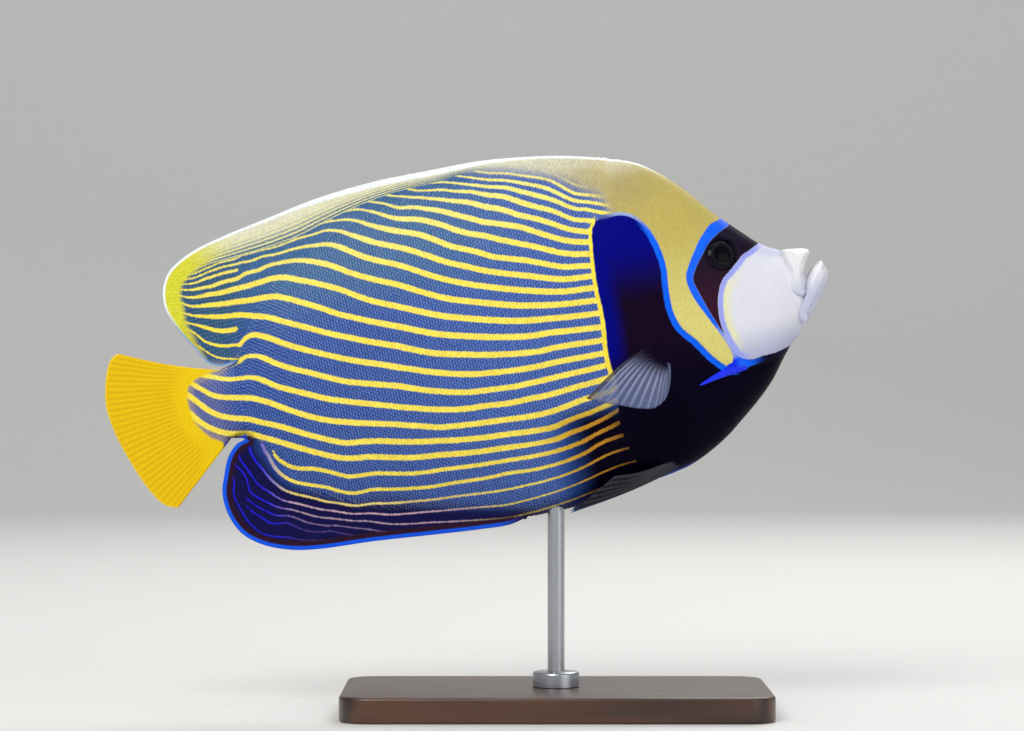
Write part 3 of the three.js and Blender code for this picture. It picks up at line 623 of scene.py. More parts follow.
def paint_mesh(mesh, u, v, share=None):
    """Stores the marking fields on a mesh that has no scales of its own."""
    fields = marking_fields(u, v, share)
    fields.update({"scale_tip": 0 * u, "scale_tone": 0 * u + 0.5, "scale_light": 0 * u})
    for name, values in fields.items():
        set_field(mesh, name, values)


def line_of(points):
    return smooth_line(points, 8)


# Materials
def srgb(red, green, blue):
    """A screen colour, 0 to 255, as linear light."""
    shares = [value / 255 for value in (red, green, blue)]
    return tuple(s / 12.92 if s <= 0.04045 else ((s + 0.055) / 1.055) ** 2.4 for s in shares)


class Shader:
    """Adds nodes to a material or a node group, and links or sets what each one is handed."""

    def __init__(self, tree):
        self.tree = tree

    def node(self, kind, inputs=(), **settings):
        node = self.tree.nodes.new("ShaderNode" + kind)
        for name, value in settings.items():
            setattr(node, name, value)
        for socket, value in dict(inputs).items():
            self.feed(node.inputs[socket], value)
        return node

    def feed(self, socket, value):
        if isinstance(value, bpy.types.NodeSocket):
            self.tree.links.new(value, socket)
        elif isinstance(value, tuple) and len(value) == 3 and socket.type == "RGBA":
            socket.default_value = (*value, 1)
        else:
            socket.default_value = value

    def math(self, operation, a, b=0.0, c=0.0):
        return self.node("Math", {0: a, 1: b, 2: c}, operation=operation).outputs[0]

    def times(self, a, b):
        return self.math("MULTIPLY", a, b)

    def fit(self, value, gain, base):
        """value * gain + base."""
        return self.math("MULTIPLY_ADD", value, gain, base)

    def most(self, a, b):
        return self.math("MAXIMUM", a, b)

    def field(self, name):
        return self.node("Attribute", attribute_name=name).outputs["Fac"]

    def rise(self, value, low, high):
        """0 below low, 1 above high, smooth between. With low above high it falls."""
        inputs = {"Value": value, "From Min": low, "From Max": high}
        return self.node("MapRange", inputs, interpolation_type="SMOOTHSTEP").outputs["Result"]

    def band(self, value, low, high, soft=0.3):
        """1 between low and high, with soft ends."""
        inside = self.rise(value, low - soft, low + soft)
        return self.times(inside, self.rise(value, high + soft, high - soft))

    def both(self, *masks):
        """1 only where every mask is 1."""
        result = masks[0]
        for mask in masks[1:]:
            result = self.times(result, mask)
        return result

    def mix(self, factor, a, b):
        """Colour a, turning into colour b as the factor rises to 1."""
        inputs = {0: factor, 6: a, 7: b}
        return self.node("Mix", inputs, data_type="RGBA").outputs[2]

    def blend(self, factor, a, b):
        """The same for plain numbers."""
        return self.node("Mix", {0: factor, 2: a, 3: b}, data_type="FLOAT").outputs[0]

    def brighten(self, colour, gain):
        """A colour times a number that varies over the surface."""
        grey = self.node("CombineColor", {0: gain, 1: gain, 2: gain}).outputs[0]
        inputs = {0: 1.0, 6: colour, 7: grey}
        return self.node("Mix", inputs, data_type="RGBA", blend_type="MULTIPLY").outputs[2]

    def object_place(self, scale, rotation=(0, 0, 0)):
        """Object coordinates, scaled and then turned."""
        source = self.node("TexCoord").outputs["Object"]
        inputs = {"Vector": source, "Rotation": rotation, "Scale": scale}
        return self.node("Mapping", inputs).outputs[0]

    def noise(self, vector, scale, detail=2.0, roughness=0.5):
        inputs = {"Vector": vector, "Scale": scale, "Detail": detail, "Roughness": roughness}
        return self.node("TexNoise", inputs).outputs["Fac"]

    def bump(self, height, distance, strength):
        inputs = {"Height": height, "Distance": distance, "Strength": strength}
        return self.node("Bump", inputs).outputs["Normal"]

    def group(self, tree, inputs):
        node = self.node("Group", node_tree=tree)
        for socket, value in inputs.items():
            self.feed(node.inputs[socket], value)
        return node


def dress(surface, s, sockets):
    """Feeds a Principled BSDF's sockets, each with a link or a value."""
    for name, value in sockets.items():
        s.feed(surface.inputs[name], value)


def new_material(name):
    """A material that holds one Principled BSDF, and the shader helper for its nodes."""
    material = bpy.data.materials.new(name)
    material.use_nodes = True
    surface = material.node_tree.nodes["Principled BSDF"]
    return material, Shader(material.node_tree), surface


def new_group(name, inputs, outputs):
    """A shader node group with named sockets, and its input and output nodes."""
    tree = bpy.data.node_groups.new(name, "ShaderNodeTree")
    for socket, (kind, default) in inputs.items():
        tree.interface.new_socket(socket, in_out="INPUT", socket_type=kind).default_value = default
    for socket, kind in outputs.items():
        tree.interface.new_socket(socket, in_out="OUTPUT", socket_type=kind)
    source = tree.nodes.new("NodeGroupInput")
    sink = tree.nodes.new("NodeGroupOutput")
    return tree, source, sink


def skin_grain_group():
    """Fine texture of living skin: a tone and a height about 0.5, and a number about 0 that frays edges."""
    tree, source, sink = new_group(
        "Skin Grain",
        {"Size": ("NodeSocketFloat", 1.0)},
        {"Tone": "NodeSocketFloat", "Height": "NodeSocketFloat", "Ragged": "NodeSocketFloat"},
    )
    s = Shader(tree)
    level = s.object_place(scale=(1000, 1000, 1000), rotation=(0, PITCH, 0))
    sized = s.node("VectorMath", {0: level}, operation="SCALE")
    s.feed(sized.inputs["Scale"], source.outputs["Size"])
    upright = s.node("Mapping", {"Vector": sized.outputs[0], "Scale": (1.5, 0.8, 0.55)}).outputs[0]
    cells = s.node("TexVoronoi", {"Vector": upright, "Scale": 0.95, "Smoothness": 0.3}, feature="SMOOTH_F1")
    patches = s.noise(level, 0.07, 2.0)
    ragged = s.noise(upright, 0.75, 1.0)
    height = s.math("SUBTRACT", 1.0, cells.outputs["Distance"])
    tone = s.math("ADD", s.times(height, 0.6), s.times(patches, 0.45))
    s.feed(sink.inputs["Tone"], tone)
    s.feed(sink.inputs["Height"], height)
    s.feed(sink.inputs["Ragged"], s.math("SUBTRACT", ragged, 0.5))
    return tree


class Paint:
    """Colours laid over one another, each through its own mask."""

    def __init__(self, shader, colour):
        self.shader = shader
        self.colour = colour

    def over(self, mask, colour):
        self.colour = self.shader.mix(mask, self.colour, colour)


class SkinPainter(Paint):
    """Lays the skin's markings over one another. Its methods run in the order that skin_material gives."""

    def __init__(self, shader, colours, ragged):
        s = shader
        self.along = s.field("along")
        towards_head = s.rise(self.along, 60, 150)
        super().__init__(s, s.mix(towards_head, colours["flank_rear"], colours["flank_blue"]))
        self.colours = colours
        self.wander = s.times(ragged, 1.3)
        self.height = s.field("height")
        self.belly = s.field("belly_line")
        self.anal = s.field("anal")
        self.number = s.field("anal_stripe")
        self.low_front = s.field("low_front")
        self.rim = s.field("dorsal_rim")
        self.front = self.frayed("stripe_front")
        self.ear = self.frayed("ear_edge")
        self.rear_line = self.frayed("front_line_rear", 0.25)
        self.front_line = self.frayed("front_line_front", 0.25)
        self.face_line = self.frayed("face_edge")
        self.ahead = s.rise(self.front, -0.35, 0.35)
        self.nape_colour = s.mix(s.rise(self.along, 160, 214), colours["nape_grey"], colours["nape_khaki"])

    def frayed(self, name, amount=0.5):
        """A distance field with its edge made slightly ragged, as scales break a line."""
        return self.shader.fit(self.wander, amount, self.shader.field(name))

    def lay(self, colour, *masks):
        """Lays a palette colour where every mask is 1."""
        self.over(self.shader.both(*masks), self.colours[colour])

    def lay_mix(self, first, second, factor, *masks):
        """Lays a colour that turns from the first into the second as the factor rises."""
        colour = self.shader.mix(factor, self.colours[first], self.colours[second])
        self.over(self.shader.both(*masks), colour)

    def ground(self):
        """Flank between the stripes, darker towards the tail, the belly and the lobe."""
        s, along, height = self.shader, self.along, self.height
        self.lay("upper_flank", s.rise(height, 18, 52), s.rise(along, 175, 110))
        self.lay("lobe_ground", s.field("lobe"), s.rise(self.anal, 0.3, 0.0))
        lowest = s.most(s.rise(along, 45, 80), s.rise(self.number, -1.6, -3.2))
        self.lay("anal_navy", s.rise(self.belly, 9, -1), s.rise(along, 200, 150), lowest)
        self.lay("stem_ground", s.rise(along, 14, 0), s.band(height, -17, 17, 5))
        self.lay("tail_root", s.rise(s.field("tail_edge"), 4.5, 0.3), s.band(height, -19, 19, 3))
        self.lay("chest", s.rise(along, 150, 172), s.rise(height, -32, -46))

    def stripes(self):
        """Stripes: the distance from the nearest one's middle line, against its half width."""
        s, along, number = self.shader, self.along, self.number
        gaps = []
        for part in ("flank", "lobe", "anal"):
            share = s.math("PINGPONG", s.field(f"{part}_stripe"), 0.5)
            gaps.append(s.times(share, s.field(f"{part}_pitch")))
        on_lobe = s.rise(s.field("lobe_side"), -2, 2)
        on_anal = s.rise(s.field("anal_side"), -0.5, 0.5)
        gap = s.blend(on_anal, s.blend(on_lobe, gaps[0], gaps[1]), gaps[2])
        inside = s.math("SUBTRACT", s.field("stripe_half"), s.fit(self.wander, 0.55, gap))
        behind = s.most(s.rise(self.front, 0.4, -0.4), s.rise(self.height, 47.5, 48.5))
        upper = s.rise(self.height, 35, 75)
        ink = Paint(s, s.mix(upper, self.colours["stripe"], self.colours["stripe_pale"]))
        ink.over(self.low_front, self.colours["stripe_brown"])
        pink = s.both(on_anal, s.rise(number, -2.5, -3.8), s.rise(along, 135, 100))
        ink.over(pink, self.colours["anal_pink"])
        ink.over(s.both(on_anal, s.rise(number, -4.2, -7)), self.colours["anal_faint"])
        blue = s.both(on_anal, s.rise(along, 31, 15), s.rise(number, -1.5, -1.7))
        ink.over(blue, self.colours["anal_line"])
        self.over(s.both(s.rise(inside, -0.32, 0.32), s.field("stripe_presence"), behind), ink.colour)

    def dorsal_margin(self):
        """Fine pale lines that run along the dorsal fin's margin, and its lobe's yellow-green band."""
        s, along, height = self.shader, self.along, self.height
        top = s.field("fin_top")
        fine = s.field("fine_share")
        wavy = s.fit(self.wander, 0.05, fine)
        zone = s.both(s.rise(wavy, 1.08, 0.94), top, s.rise(height, 52, 57))
        self.lay_mix("fin_grey", "dorsal_cream", s.rise(fine, 0.95, 0.3), zone)
        gap = s.math("PINGPONG", s.times(wavy, FINE_LINE_COUNT), 0.5)
        self.lay("stripe_cream", zone, s.rise(gap, 0.3, 0.1), s.rise(fine, 0.1, 0.5), s.rise(along, 150, 100))
        ragged_rim = s.fit(self.wander, 0.9, self.rim)
        inside = s.rise(s.math("SUBTRACT", ragged_rim, s.field("rim_band")), 1.2, -1.8)
        lower = s.rise(height, 44, 26)
        self.lay_mix("dorsal_yellow", "dorsal_olive", lower, inside, top, s.rise(along, 30, 2))

    def nape(self):
        """The nape, which turns to cream up the dorsal fin, and the fin's white and blue edges."""
        s, along, height = self.shader, self.along, self.height
        cream = self.colours["dorsal_cream"]
        self.over(s.field("nape"), s.mix(s.rise(height, 66, 84), self.nape_colour, cream))
        wider = s.times(s.band(along, 60, 150, 30), 1.6)
        white = s.rise(s.math("SUBTRACT", self.rim, wider), 1.6, 0.5)
        self.lay("dorsal_rim", white, s.rise(height, 30, 52), s.rise(along, 234, 216))
        self.lay("lobe_rim", s.rise(self.rim, 1.0, 0.4), s.rise(height, 52, 30), s.rise(along, 20, 8))

    def anal_fin(self):
        """A darker brownish band inside the anal fin's bright blue margin."""
        s = self.shader
        rim = s.field("anal_rim")
        self.lay("anal_brown", self.anal, s.rise(rim, 5.5, 3.2))
        self.lay("anal_margin", self.anal, s.rise(rim, 2.3, 1.5), s.rise(self.along, 134, 118))

    def tail_fin(self):
        s = self.shader
        tail = s.field("tail_edge")
        self.lay("tail_yellow", s.rise(tail, 0.7, -0.9))
        self.lay("tail_ray", s.rise(tail, -3, -10), s.field("tail_ray"))
        self.lay("tail_rim", s.rise(tail, -3, -8), s.rise(s.field("tail_rim"), 1.0, 0.3))

    def scale_edges(self):
        """Each flank scale is lighter along its free edge."""
        s = self.shader
        plain = s.both(s.rise(self.anal, 0.7, 0.1), s.rise(self.low_front, 0.7, 0.1))
        self.tip = s.both(s.rise(s.field("scale_tip"), 0.6, 1.0), s.field("scale_light"), plain)
        self.lay("scale_edge", s.times(self.tip, 0.16))

    def chest(self):
        """The dark patch and the chest, ahead of the stripes, and the yellow line between them."""
        s, along, height, front = self.shader, self.along, self.height, self.front
        self.patch = s.both(self.ahead, s.rise(self.ear, 0.3, -0.3))
        self.lay("ear_patch", self.patch)
        self.lay("ear_patch_blue", self.patch, s.rise(front, 11, 2), s.rise(height, -34, -14))
        self.lay("ear_patch_blue", self.patch, s.rise(height, 4, 34))
        self.lay("chest", self.patch, s.rise(height, -14, -34))
        below = s.band(self.belly, -3.0, 0.9, 0.5)
        self.lay("belly_line", below, s.rise(along, 172, 182), s.rise(along, 222, 206))
        width = s.fit(height, -0.01, 1.9)
        reached = s.rise(s.math("ADD", front, width), -0.35, 0.35)
        upright = s.both(s.rise(height, -32, -24), s.rise(height, 50, 43))
        self.lay("stripe", reached, s.rise(front, 0.3, -0.3), upright)

    def gill_cover(self):
        """Khaki band of the gill cover, and the blue line along its rear edge, which turns pale and thin."""
        s, along, height, ear = self.shader, self.along, self.height, self.ear
        under_nape = s.most(s.rise(height, 47, 44), s.rise(along, 198, 207))
        behind_mask = s.rise(self.rear_line, 0.3, -0.3)
        self.cover = s.both(self.ahead, s.rise(ear, -0.3, 0.3), behind_mask, under_nape)
        self.lay_mix("cover_khaki", "cover_yellow", s.rise(height, 42, -10), self.cover)
        above = s.both(self.cover, s.rise(height, 38, 60), s.rise(along, 240, 206))
        self.over(above, s.mix(s.rise(height, 60, 78), self.nape_colour, self.colours["dorsal_cream"]))
        self.lay("dorsal_rim", s.rise(self.rim, 1.3, 0.5), s.rise(height, 50, 58), s.rise(along, 234, 218))
        edge = s.band(ear, -2.6, 0.2, 0.35)
        self.lay("line_blue", edge, s.rise(height, 49, 42), s.band(along, 214.5, 243, 3))
        thin = s.both(s.band(ear, -0.9, 0.5, 0.35), s.rise(along, 219, 210), s.rise(height, 30, 38))
        self.lay("line_pale", thin, s.rise(along, 196, 206))

    def mask(self):
        """The dark mask and the line behind it, blue above, pale lower down and deep blue at the spine."""
        s, height = self.shader, self.height
        self.masked = s.both(s.rise(self.front_line, -0.3, 0.3), s.rise(self.ear, -0.2, 0.2))
        self.lay_mix("mask_low", "mask", s.rise(height, -8, 24), self.masked)
        ahead, behind = s.rise(self.rear_line, -0.25, 0.25), s.rise(self.front_line, 0.25, -0.25)
        between = s.both(ahead, behind, s.rise(self.ear, -0.2, 0.4))
        self.lay("line_blue", between, s.rise(height, 44, 38))
        self.lay("line_pale", between, s.rise(height, -12, -20))
        self.lay("cheek_spine", between, s.rise(height, -28.5, -31))

    def face(self):
        """The pale face with its lilac edge and yellow tint, greyer below as painted shade, and the blue line
        under it, which turns into a painted shadow towards the chin.
        """
        s, along, height, face = self.shader, self.along, self.height, self.face_line
        below = s.both(s.rise(face, 0.3, -0.3), s.rise(self.ear, -0.6, 0.2))
        # Below the face the blue line turns, towards the chin, into a painted shadow in the gap under the
        # face's lower edge.
        chin = s.both(below, s.rise(along, 243, 247), s.rise(height, -25, -29))
        self.lay_mix("line_blue", "chin_dark", s.rise(along, 249, 259), chin)
        self.faced = s.both(s.rise(face, -0.3, 0.3), s.rise(height, 30, 26))
        # The face turns greyer towards its lower edge: painted shade.
        self.lay_mix("face", "face_low", s.rise(height, -14, -32), self.faced)
        cheek = s.both(self.faced, s.rise(height, 10, 2), s.rise(height, -29, -18), s.rise(along, 262, 254))
        self.lay("face_yellow", s.times(s.both(cheek, s.rise(face, 7.5, 3.5)), 0.8))
        low_face = s.most(s.rise(height, -29, -25), s.rise(along, 253, 247))
        self.lay("face_edge", self.faced, s.rise(face, 3.0, 1.7), low_face)
        self.lay("snout_top", self.faced, s.rise(along, 262, 272), s.rise(height, 10, 18))


def skin_material(colours, grain):
    """The painted skin, shared by the skin and its scales."""
    material, s, surface = new_material("painted_skin")
    skin = s.group(grain, {"Size": 1.0}).outputs
    paint = SkinPainter(s, colours, skin["Ragged"])
    layers = (
        paint.ground, paint.stripes, paint.dorsal_margin, paint.nape, paint.anal_fin, paint.tail_fin,
        paint.scale_edges, paint.chest, paint.gill_cover, paint.mask, paint.face,
    )
    for layer in layers:
        layer()

    # Neighbouring scales differ a little, least on the face and the gill covers
    tone = s.fit(s.field("scale_tone"), 0.16, 0.9)
    tone = s.fit(s.math("SUBTRACT", skin["Tone"], 0.5), 0.16, tone)
    tone = s.fit(paint.tip, 0.16, tone)
    calm = s.most(paint.faced, s.times(paint.cover, 0.6))
    tone = s.blend(s.times(calm, 0.75), tone, 0.97)
    s.feed(surface.inputs["Base Color"], s.brighten(paint.colour, tone))
    s.feed(surface.inputs["Roughness"], s.fit(skin["Height"], 0.12, 0.4))
    relief = s.times(skin["Height"], s.fit(paint.faced, -0.8, 1))
    s.feed(surface.inputs["Normal"], s.bump(relief, 0.00005, 0.4))

    # Dark skin shines less
    mask = s.both(paint.masked, s.rise(paint.face_line, 0.3, -0.3))
    dark = s.most(s.most(paint.patch, mask), paint.low_front)
    s.feed(surface.inputs["Specular IOR Level"], s.fit(dark, -0.1, 0.13))
    return material


# Mesh helpers
SIDES = (("right", 1), ("left", -1))  # name of each side of the fish, and what its y is multiplied by


def grid_piece(place):
    """A bmesh of a grid, in the fish's frame. place holds each vertex's point by column and row."""
    columns, rows = place.shape[:2]
    bm = bmesh.new()
    bmesh.ops.create_grid(bm, x_segments=columns - 1, y_segments=rows - 1, size=1)
    cell = bm.verts.layers.int.new("cell")
    points = place.reshape(-1, 3)
    for vert in bm.verts:
        i = round((vert.co.x + 1) / 2 * (columns - 1))
        j = round((vert.co.y + 1) / 2 * (rows - 1))
        vert[cell] = i * rows + j
        vert.co = points[i * rows + j]
    return bm


def finish_piece(bm, name, replaces, material, both_sides=False):
    """Closes a bmesh and makes it a piece of the model. both_sides adds its mirror image."""
    if both_sides:
        bmesh.ops.mirror(bm, geom=bm.verts[:] + bm.edges[:] + bm.faces[:], axis="Y", merge_dist=1e-4)
    bmesh.ops.remove_doubles(bm, verts=bm.verts[:], dist=1e-4)
    bmesh.ops.dissolve_degenerate(bm, edges=bm.edges[:], dist=1e-5)
    bmesh.ops.recalc_face_normals(bm, faces=bm.faces[:])
    mesh = bpy.data.meshes.new(name)
    bm.to_mesh(mesh)
    bm.free()
    mesh.shade_smooth()
    mesh.materials.append(material)
    piece = bpy.data.objects.new(name, mesh)
    bpy.context.scene.collection.objects.link(piece)
    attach(piece, "root")
    if replaces:
        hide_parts(*replaces)
    return piece


def finish_pair(make, name, node, material):
    """Makes a piece for each side of the fish from the bmesh that make(sign) gives."""
    for side, sign in SIDES:
        piece = finish_piece(make(sign), f"{name}_{side}", [f"{node}_{side}"], material)
        carry_to_part(piece.data)


def vertex_places(mesh):
    """A mesh's vertex coordinates as an n x 3 array."""
    co = np.zeros(len(mesh.vertices) * 3)
    mesh.vertices.foreach_get("co", co)
    return co.reshape(-1, 3)


def carry_to_part(mesh):
    """Moves a mesh from the fish's frame to the part's."""
    mesh.vertices.foreach_set("co", to_part(vertex_places(mesh)).ravel())
    mesh.update()


def set_field(mesh, name, values):
    """Stores one number for each vertex as a named attribute."""
    field = mesh.attributes.get(name) or mesh.attributes.new(name, "FLOAT", "POINT")
    field.data.foreach_set("value", np.array(values, np.float32))


def rounded(share):
    """Height of a quarter circle at a share of its width, 0 to 1."""
    return np.sqrt(np.maximum(1 - (1 - share) ** 2, 0))


# Skin
def column_shares(length):
    """Distances along one column of the skin, closer together at its ends."""
    steps = np.array(MARGIN_STEPS) * min(1, length / 12)
    inner = np.linspace(steps[-1], length - steps[-1], SKIN_ROWS - 2 * len(steps) + 2)
    return np.concatenate([steps[:-1], inner, length - steps[:-1][::-1]]) / length


def fin_base(height_at, span, u):
    """Shares of a fin's base at stations u, counted from its front."""
    stations = np.linspace(span[0], span[1], 241)
    run = run_along(np.column_stack([stations, height_at(stations)]))
    return np.interp(-u, -stations, run / run[-1])


def tail_columns():
    """Columns of the tail fin, from its margin forwards, and then of the stem. Each runs upwards."""
    root = smooth_line(CAUDAL_ROOT)[::-1]
    margin = smooth_line(CAUDAL_MARGIN)[::-1]
    fin = np.full(SKIN_ROWS, CAUDAL)
    length = FINS["caudal"]["reach"]
    across = column_shares(TAIL_HEIGHT)
    for k in range(TAIL_COLUMNS):
        reach = 1 - k / TAIL_COLUMNS
        if k < CLOSE_COLUMNS:
            reach = 1 - (k / CLOSE_COLUMNS) ** 2 * (CLOSE_COLUMNS / TAIL_COLUMNS)
        line = at_shares(root, across) * (1 - reach) + at_shares(margin, across) * reach
        line[:, 1] -= 1.4 * math.sin(math.pi * reach) * across**6  # the upper edge sags a little
        rim = np.minimum(np.minimum(across, 1 - across) * (32 + 46 * reach), (1 - reach) * length)
        yield line, fin, 1 - across, np.full(SKIN_ROWS, reach * length), rim

    front = SKIN_RUNS[0][0]
    stem_front = np.array([[front, float(belly_at(front))], [front, float(back_at(front))]])
    across = column_shares(STEM_HEIGHT)
    for k in range(STEM_COLUMNS):
        s = k / STEM_COLUMNS
        line = at_shares(root, across) * (1 - s) + at_shares(stem_front, across) * s
        top = back_at(line[-1, 0])
        bottom = belly_at(line[0, 0])
        line[:, 1] = bottom + (line[:, 1] - line[0, 1]) * (top - bottom) / (line[-1, 1] - line[0, 1])
        rim = np.minimum(across, 1 - across) * STEM_HEIGHT
        yield line, fin, 1 - across, np.full(SKIN_ROWS, -STEM_LENGTH * s), rim


def body_columns():
    """Columns of the body with the fins above and below it, from the stem to the snout."""
    dorsal_margin = smooth_line(DORSAL_MARGIN)
    anal_margin = smooth_line(ANAL_MARGIN)
    runs = [np.linspace(start, end, count, endpoint=False) for start, end, count in SKIN_RUNS]
    for u in np.concatenate([*runs, [SNOUT_END]]):
        top = float(skin_top(u))
        bottom = float(skin_bottom(u))
        corners = [[u, bottom], [u, top]]
        dorsal_share = anal_share = 0.0
        if u < DORSAL_SPAN[0]:
            dorsal_share = float(fin_base(back_at, DORSAL_SPAN, u))
            corners.append(at_shares(dorsal_margin, [dorsal_share])[0])
        if u < ANAL_SPAN[0]:
            anal_share = float(fin_base(belly_at, ANAL_SPAN, u))
            corners.insert(0, at_shares(anal_margin, [anal_share])[0])
        rib = np.array(corners, float)
        runs = run_along(rib)
        along = column_shares(runs[-1]) * runs[-1]
        line = np.stack([np.interp(along, runs, rib[:, k]) for k in (0, 1)], -1)
        low = runs[1] if u < ANAL_SPAN[0] else 0
        high = low + top - bottom
        fin = np.where(along < (low + high) / 2, ANAL, DORSAL)
        share = np.where(fin == ANAL, anal_share, dorsal_share)
        beyond = np.where(fin == ANAL, low - along, along - high)
        yield line, fin, share, beyond, np.minimum(along, runs[-1] - along)


def skin_columns():
    """The skin's side view, column by column from the tail fin's margin to the snout: points, and for each
    its fin, its share of the fin's base, its distance beyond the body and its distance to the rim."""
    return [np.array(part) for part in zip(*tail_columns(), *body_columns())]


def ray_ridge(share, count, width=0.22):
    """1 on the middle of each ray and 0 between rays."""
    place = share * count
    return np.exp(-(((place - np.floor(place) - 0.5) / width) ** 2))


def skin_thickness(points, fin, share, beyond, rim):
    """Half the model's thickness at each point of the skin's side view."""
    u, v = points[..., 0], points[..., 1]
    tail = fin == CAUDAL
    width = np.where(u > SNOUT_WIDTH[0][0], snout_width_at(u), width_at(u))
    body = section_width(u, v, width, skin_top(u), skin_bottom(u))

    # On the tail fin the flesh thins out behind the stem, in the shape of the stem's section
    across = np.abs(share * 2 - 1)
    stem = width_at(np.maximum(u, -12)) * np.maximum(1 - across**2.4, 0) ** 0.55
    thinning = np.where(beyond > 0, np.exp(-beyond / 9), 1)
    body = np.where(tail, stem * thinning, body - 0.6 * np.maximum(beyond, 0))

    # Each fin is a plate that thins towards its margin, with a ridge on each ray and spine
    total = body
    for number, name in ((DORSAL, "dorsal"), (ANAL, "anal"), (CAUDAL, "caudal")):
        size = FINS[name]
        out = np.clip(beyond / size["reach"], 0, 1)
        ridge = ray_ridge(share, size["rays"])
        if name == "dorsal":
            spiny = size["spiny_share"]
            soft = ray_ridge((share - spiny) / (1 - spiny), size["rays"], 0.24)
            ridge = np.where(share < spiny, 1.6 * ray_ridge(share / spiny, size["spines"], 0.14), soft)
        plate = size["root"] + (size["edge"] - size["root"]) * out**0.8
        plate = plate + size["ridge"] * ridge * ramp(-1.5, 4, beyond) * (1 - 0.6 * out)
        total = np.where(fin == number, smooth_max(body, plate, 1.0), total)

    # Fins rise out of the body a little way inside it, and set in gently at their front
    front = np.where(fin == DORSAL, ramp(*DORSAL_START, u), ramp(*ANAL_START, u))
    presence = front * (share > 0) * ramp(-14, -2, beyond)
    presence = np.where(tail, ramp(-3, 3, beyond) * (beyond > 0), presence)
    rounding = rounded(np.minimum(rim / RIM_RADIUS, 1))
    return (body + (total - body) * presence) * (1 - presence + presence * rounding)


# Head lines, listed from the top down, so that distances are positive in front of them
GILL_LINE = [
    [216, 86], [216.8, 70.7], [220.3, 50.7], [219.9, 28.4], [221, 17.8], [220, 7.4], [219.8, -1.8],
    [222, -10.5], [228.4, -18.8], [233.7, -26.9], [239.4, -32.8], [249, -36.3], [260, -34.6],
    [270, -32.7], [290, -32],
]
EYE = {"u": 248, "v": 18.4, "radius": 8.0, "gap": 0.15, "depth": 3.8, "proud": 1.5}


def head_relief(u, v):
    """Raised and sunken forms of the head, in mm across the skin."""
    gill = distance_to(smooth_line(GILL_LINE), u, v)
    cover = 0.9 * ramp(-0.2, 0.9, gill) * np.exp(-np.maximum(gill, 0) / 26) * ramp(52, 34, v)
    cover -= 0.35 * np.exp(-((gill + 1.2) / 1.1) ** 2) * ramp(48, 30, v)
    eye = np.hypot(u - EYE["u"], v - EYE["v"])
    orbit = 0.5 * np.exp(-(((eye - 8.8) / 1.2) ** 2)) - 2.6 * ramp(7.9, 6.6, eye)
    return cover * ramp(286, 272, u) + orbit


def skin_shape():
    """The right side of the skin as a grid of points in the fish's frame."""
    points, fin, share, beyond, rim = skin_columns()
    half = skin_thickness(points, fin, share, beyond, rim)
    u, v = points[..., 0].ravel(), points[..., 1].ravel()
    relief = head_relief(u, v).reshape(half.shape) * ramp(180, 200, points[..., 0])
    half = np.maximum(half + relief * np.minimum(half / 3, 1) - COAT_DEPTH * ramp(1, 3, half), 0)
    half[[0, -1], :] = 0
    half[:, [0, -1]] = 0
    return np.stack([points[..., 0], -half, points[..., 1]], -1), share, beyond, rim


def build_skin(material):
    skin, share = skin_shape()[:2]
    nodes = [
        "head", "gill_cover_right", "gill_cover_left", "torso", "tail_stem", "dorsal_fin_spiny",
        "dorsal_fin_soft", "anal_fin", "caudal_fin",
    ]
    piece = finish_piece(grid_piece(skin), "skin", nodes, material, both_sides=True)
    places = vertex_places(piece.data)
    cells = np.zeros(len(places), int)
    piece.data.attributes["cell"].data.foreach_get("value", cells)
    paint_mesh(piece.data, places[:, 0], places[:, 2], share.ravel()[cells])
    carry_to_part(piece.data)


# Scales
SCALE_END = 0.52
SCALE_FORM = [  # rim of one scale: [towards the tail, across, lift], in shares of its length, width and lift
    [-SCALE_END, 0.0, -0.9], [-0.16, 0.44, -0.25], [0.26, 0.48, 0.55], [SCALE_END, 0.2, 1.0],
    [SCALE_END, -0.2, 1.0], [0.26, -0.48, 0.55], [-0.16, -0.44, -0.25],
]
SCALE_CROWN = [0.12, 0.0, 0.86]
SCALE_KEEL = [0.14, 0.0, -1.0]
SCALE_LENGTH = 1.95  # of the gap to the next column of scales
SCALE_WIDTH = 1.12  # of the gap to the next row
SCALE_JITTER = 0.08  # how far a scale strays, in cells of the skin's grid
SCALE_SPREAD = (0.92, 1.1)
BAKE_PATCH = 0.003


class SkinMap:
    """Finds points of the right-hand skin and their frames from its grid."""

    def __init__(self):
        self.place, self.share, self.beyond, self.rim = skin_shape()
        along = np.gradient(self.place, axis=0)
        across = np.gradient(self.place, axis=1)
        normal = np.cross(along, across)
        size = np.linalg.norm(normal, axis=2, keepdims=True)
        self.normal = normal / np.maximum(size, 1e-9)
        self.normal *= np.where(self.normal[..., 1:2] > 0, -1, 1)
        self.along = along / np.maximum(np.linalg.norm(along, axis=2, keepdims=True), 1e-9)
        self.columns, self.rows = self.share.shape
        steps = np.linalg.norm(np.diff(self.place, axis=1), axis=2)
        self.run = np.concatenate([np.zeros((self.columns, 1)), np.cumsum(steps, axis=1)], axis=1)

    def sample(self, grid, column, row):
        """A grid's values at fractional columns and rows."""
        c = np.clip(column.astype(int), 0, self.columns - 2)
        r = np.clip(row.astype(int), 0, self.rows - 2)
        fc, fr = column - c, row - r
        if grid.ndim == 3:
            fc, fr = fc[:, None], fr[:, None]
        low = grid[c, r] * (1 - fr) + grid[c, r + 1] * fr
        high = grid[c + 1, r] * (1 - fr) + grid[c + 1, r + 1] * fr
        return low * (1 - fc) + high * fc


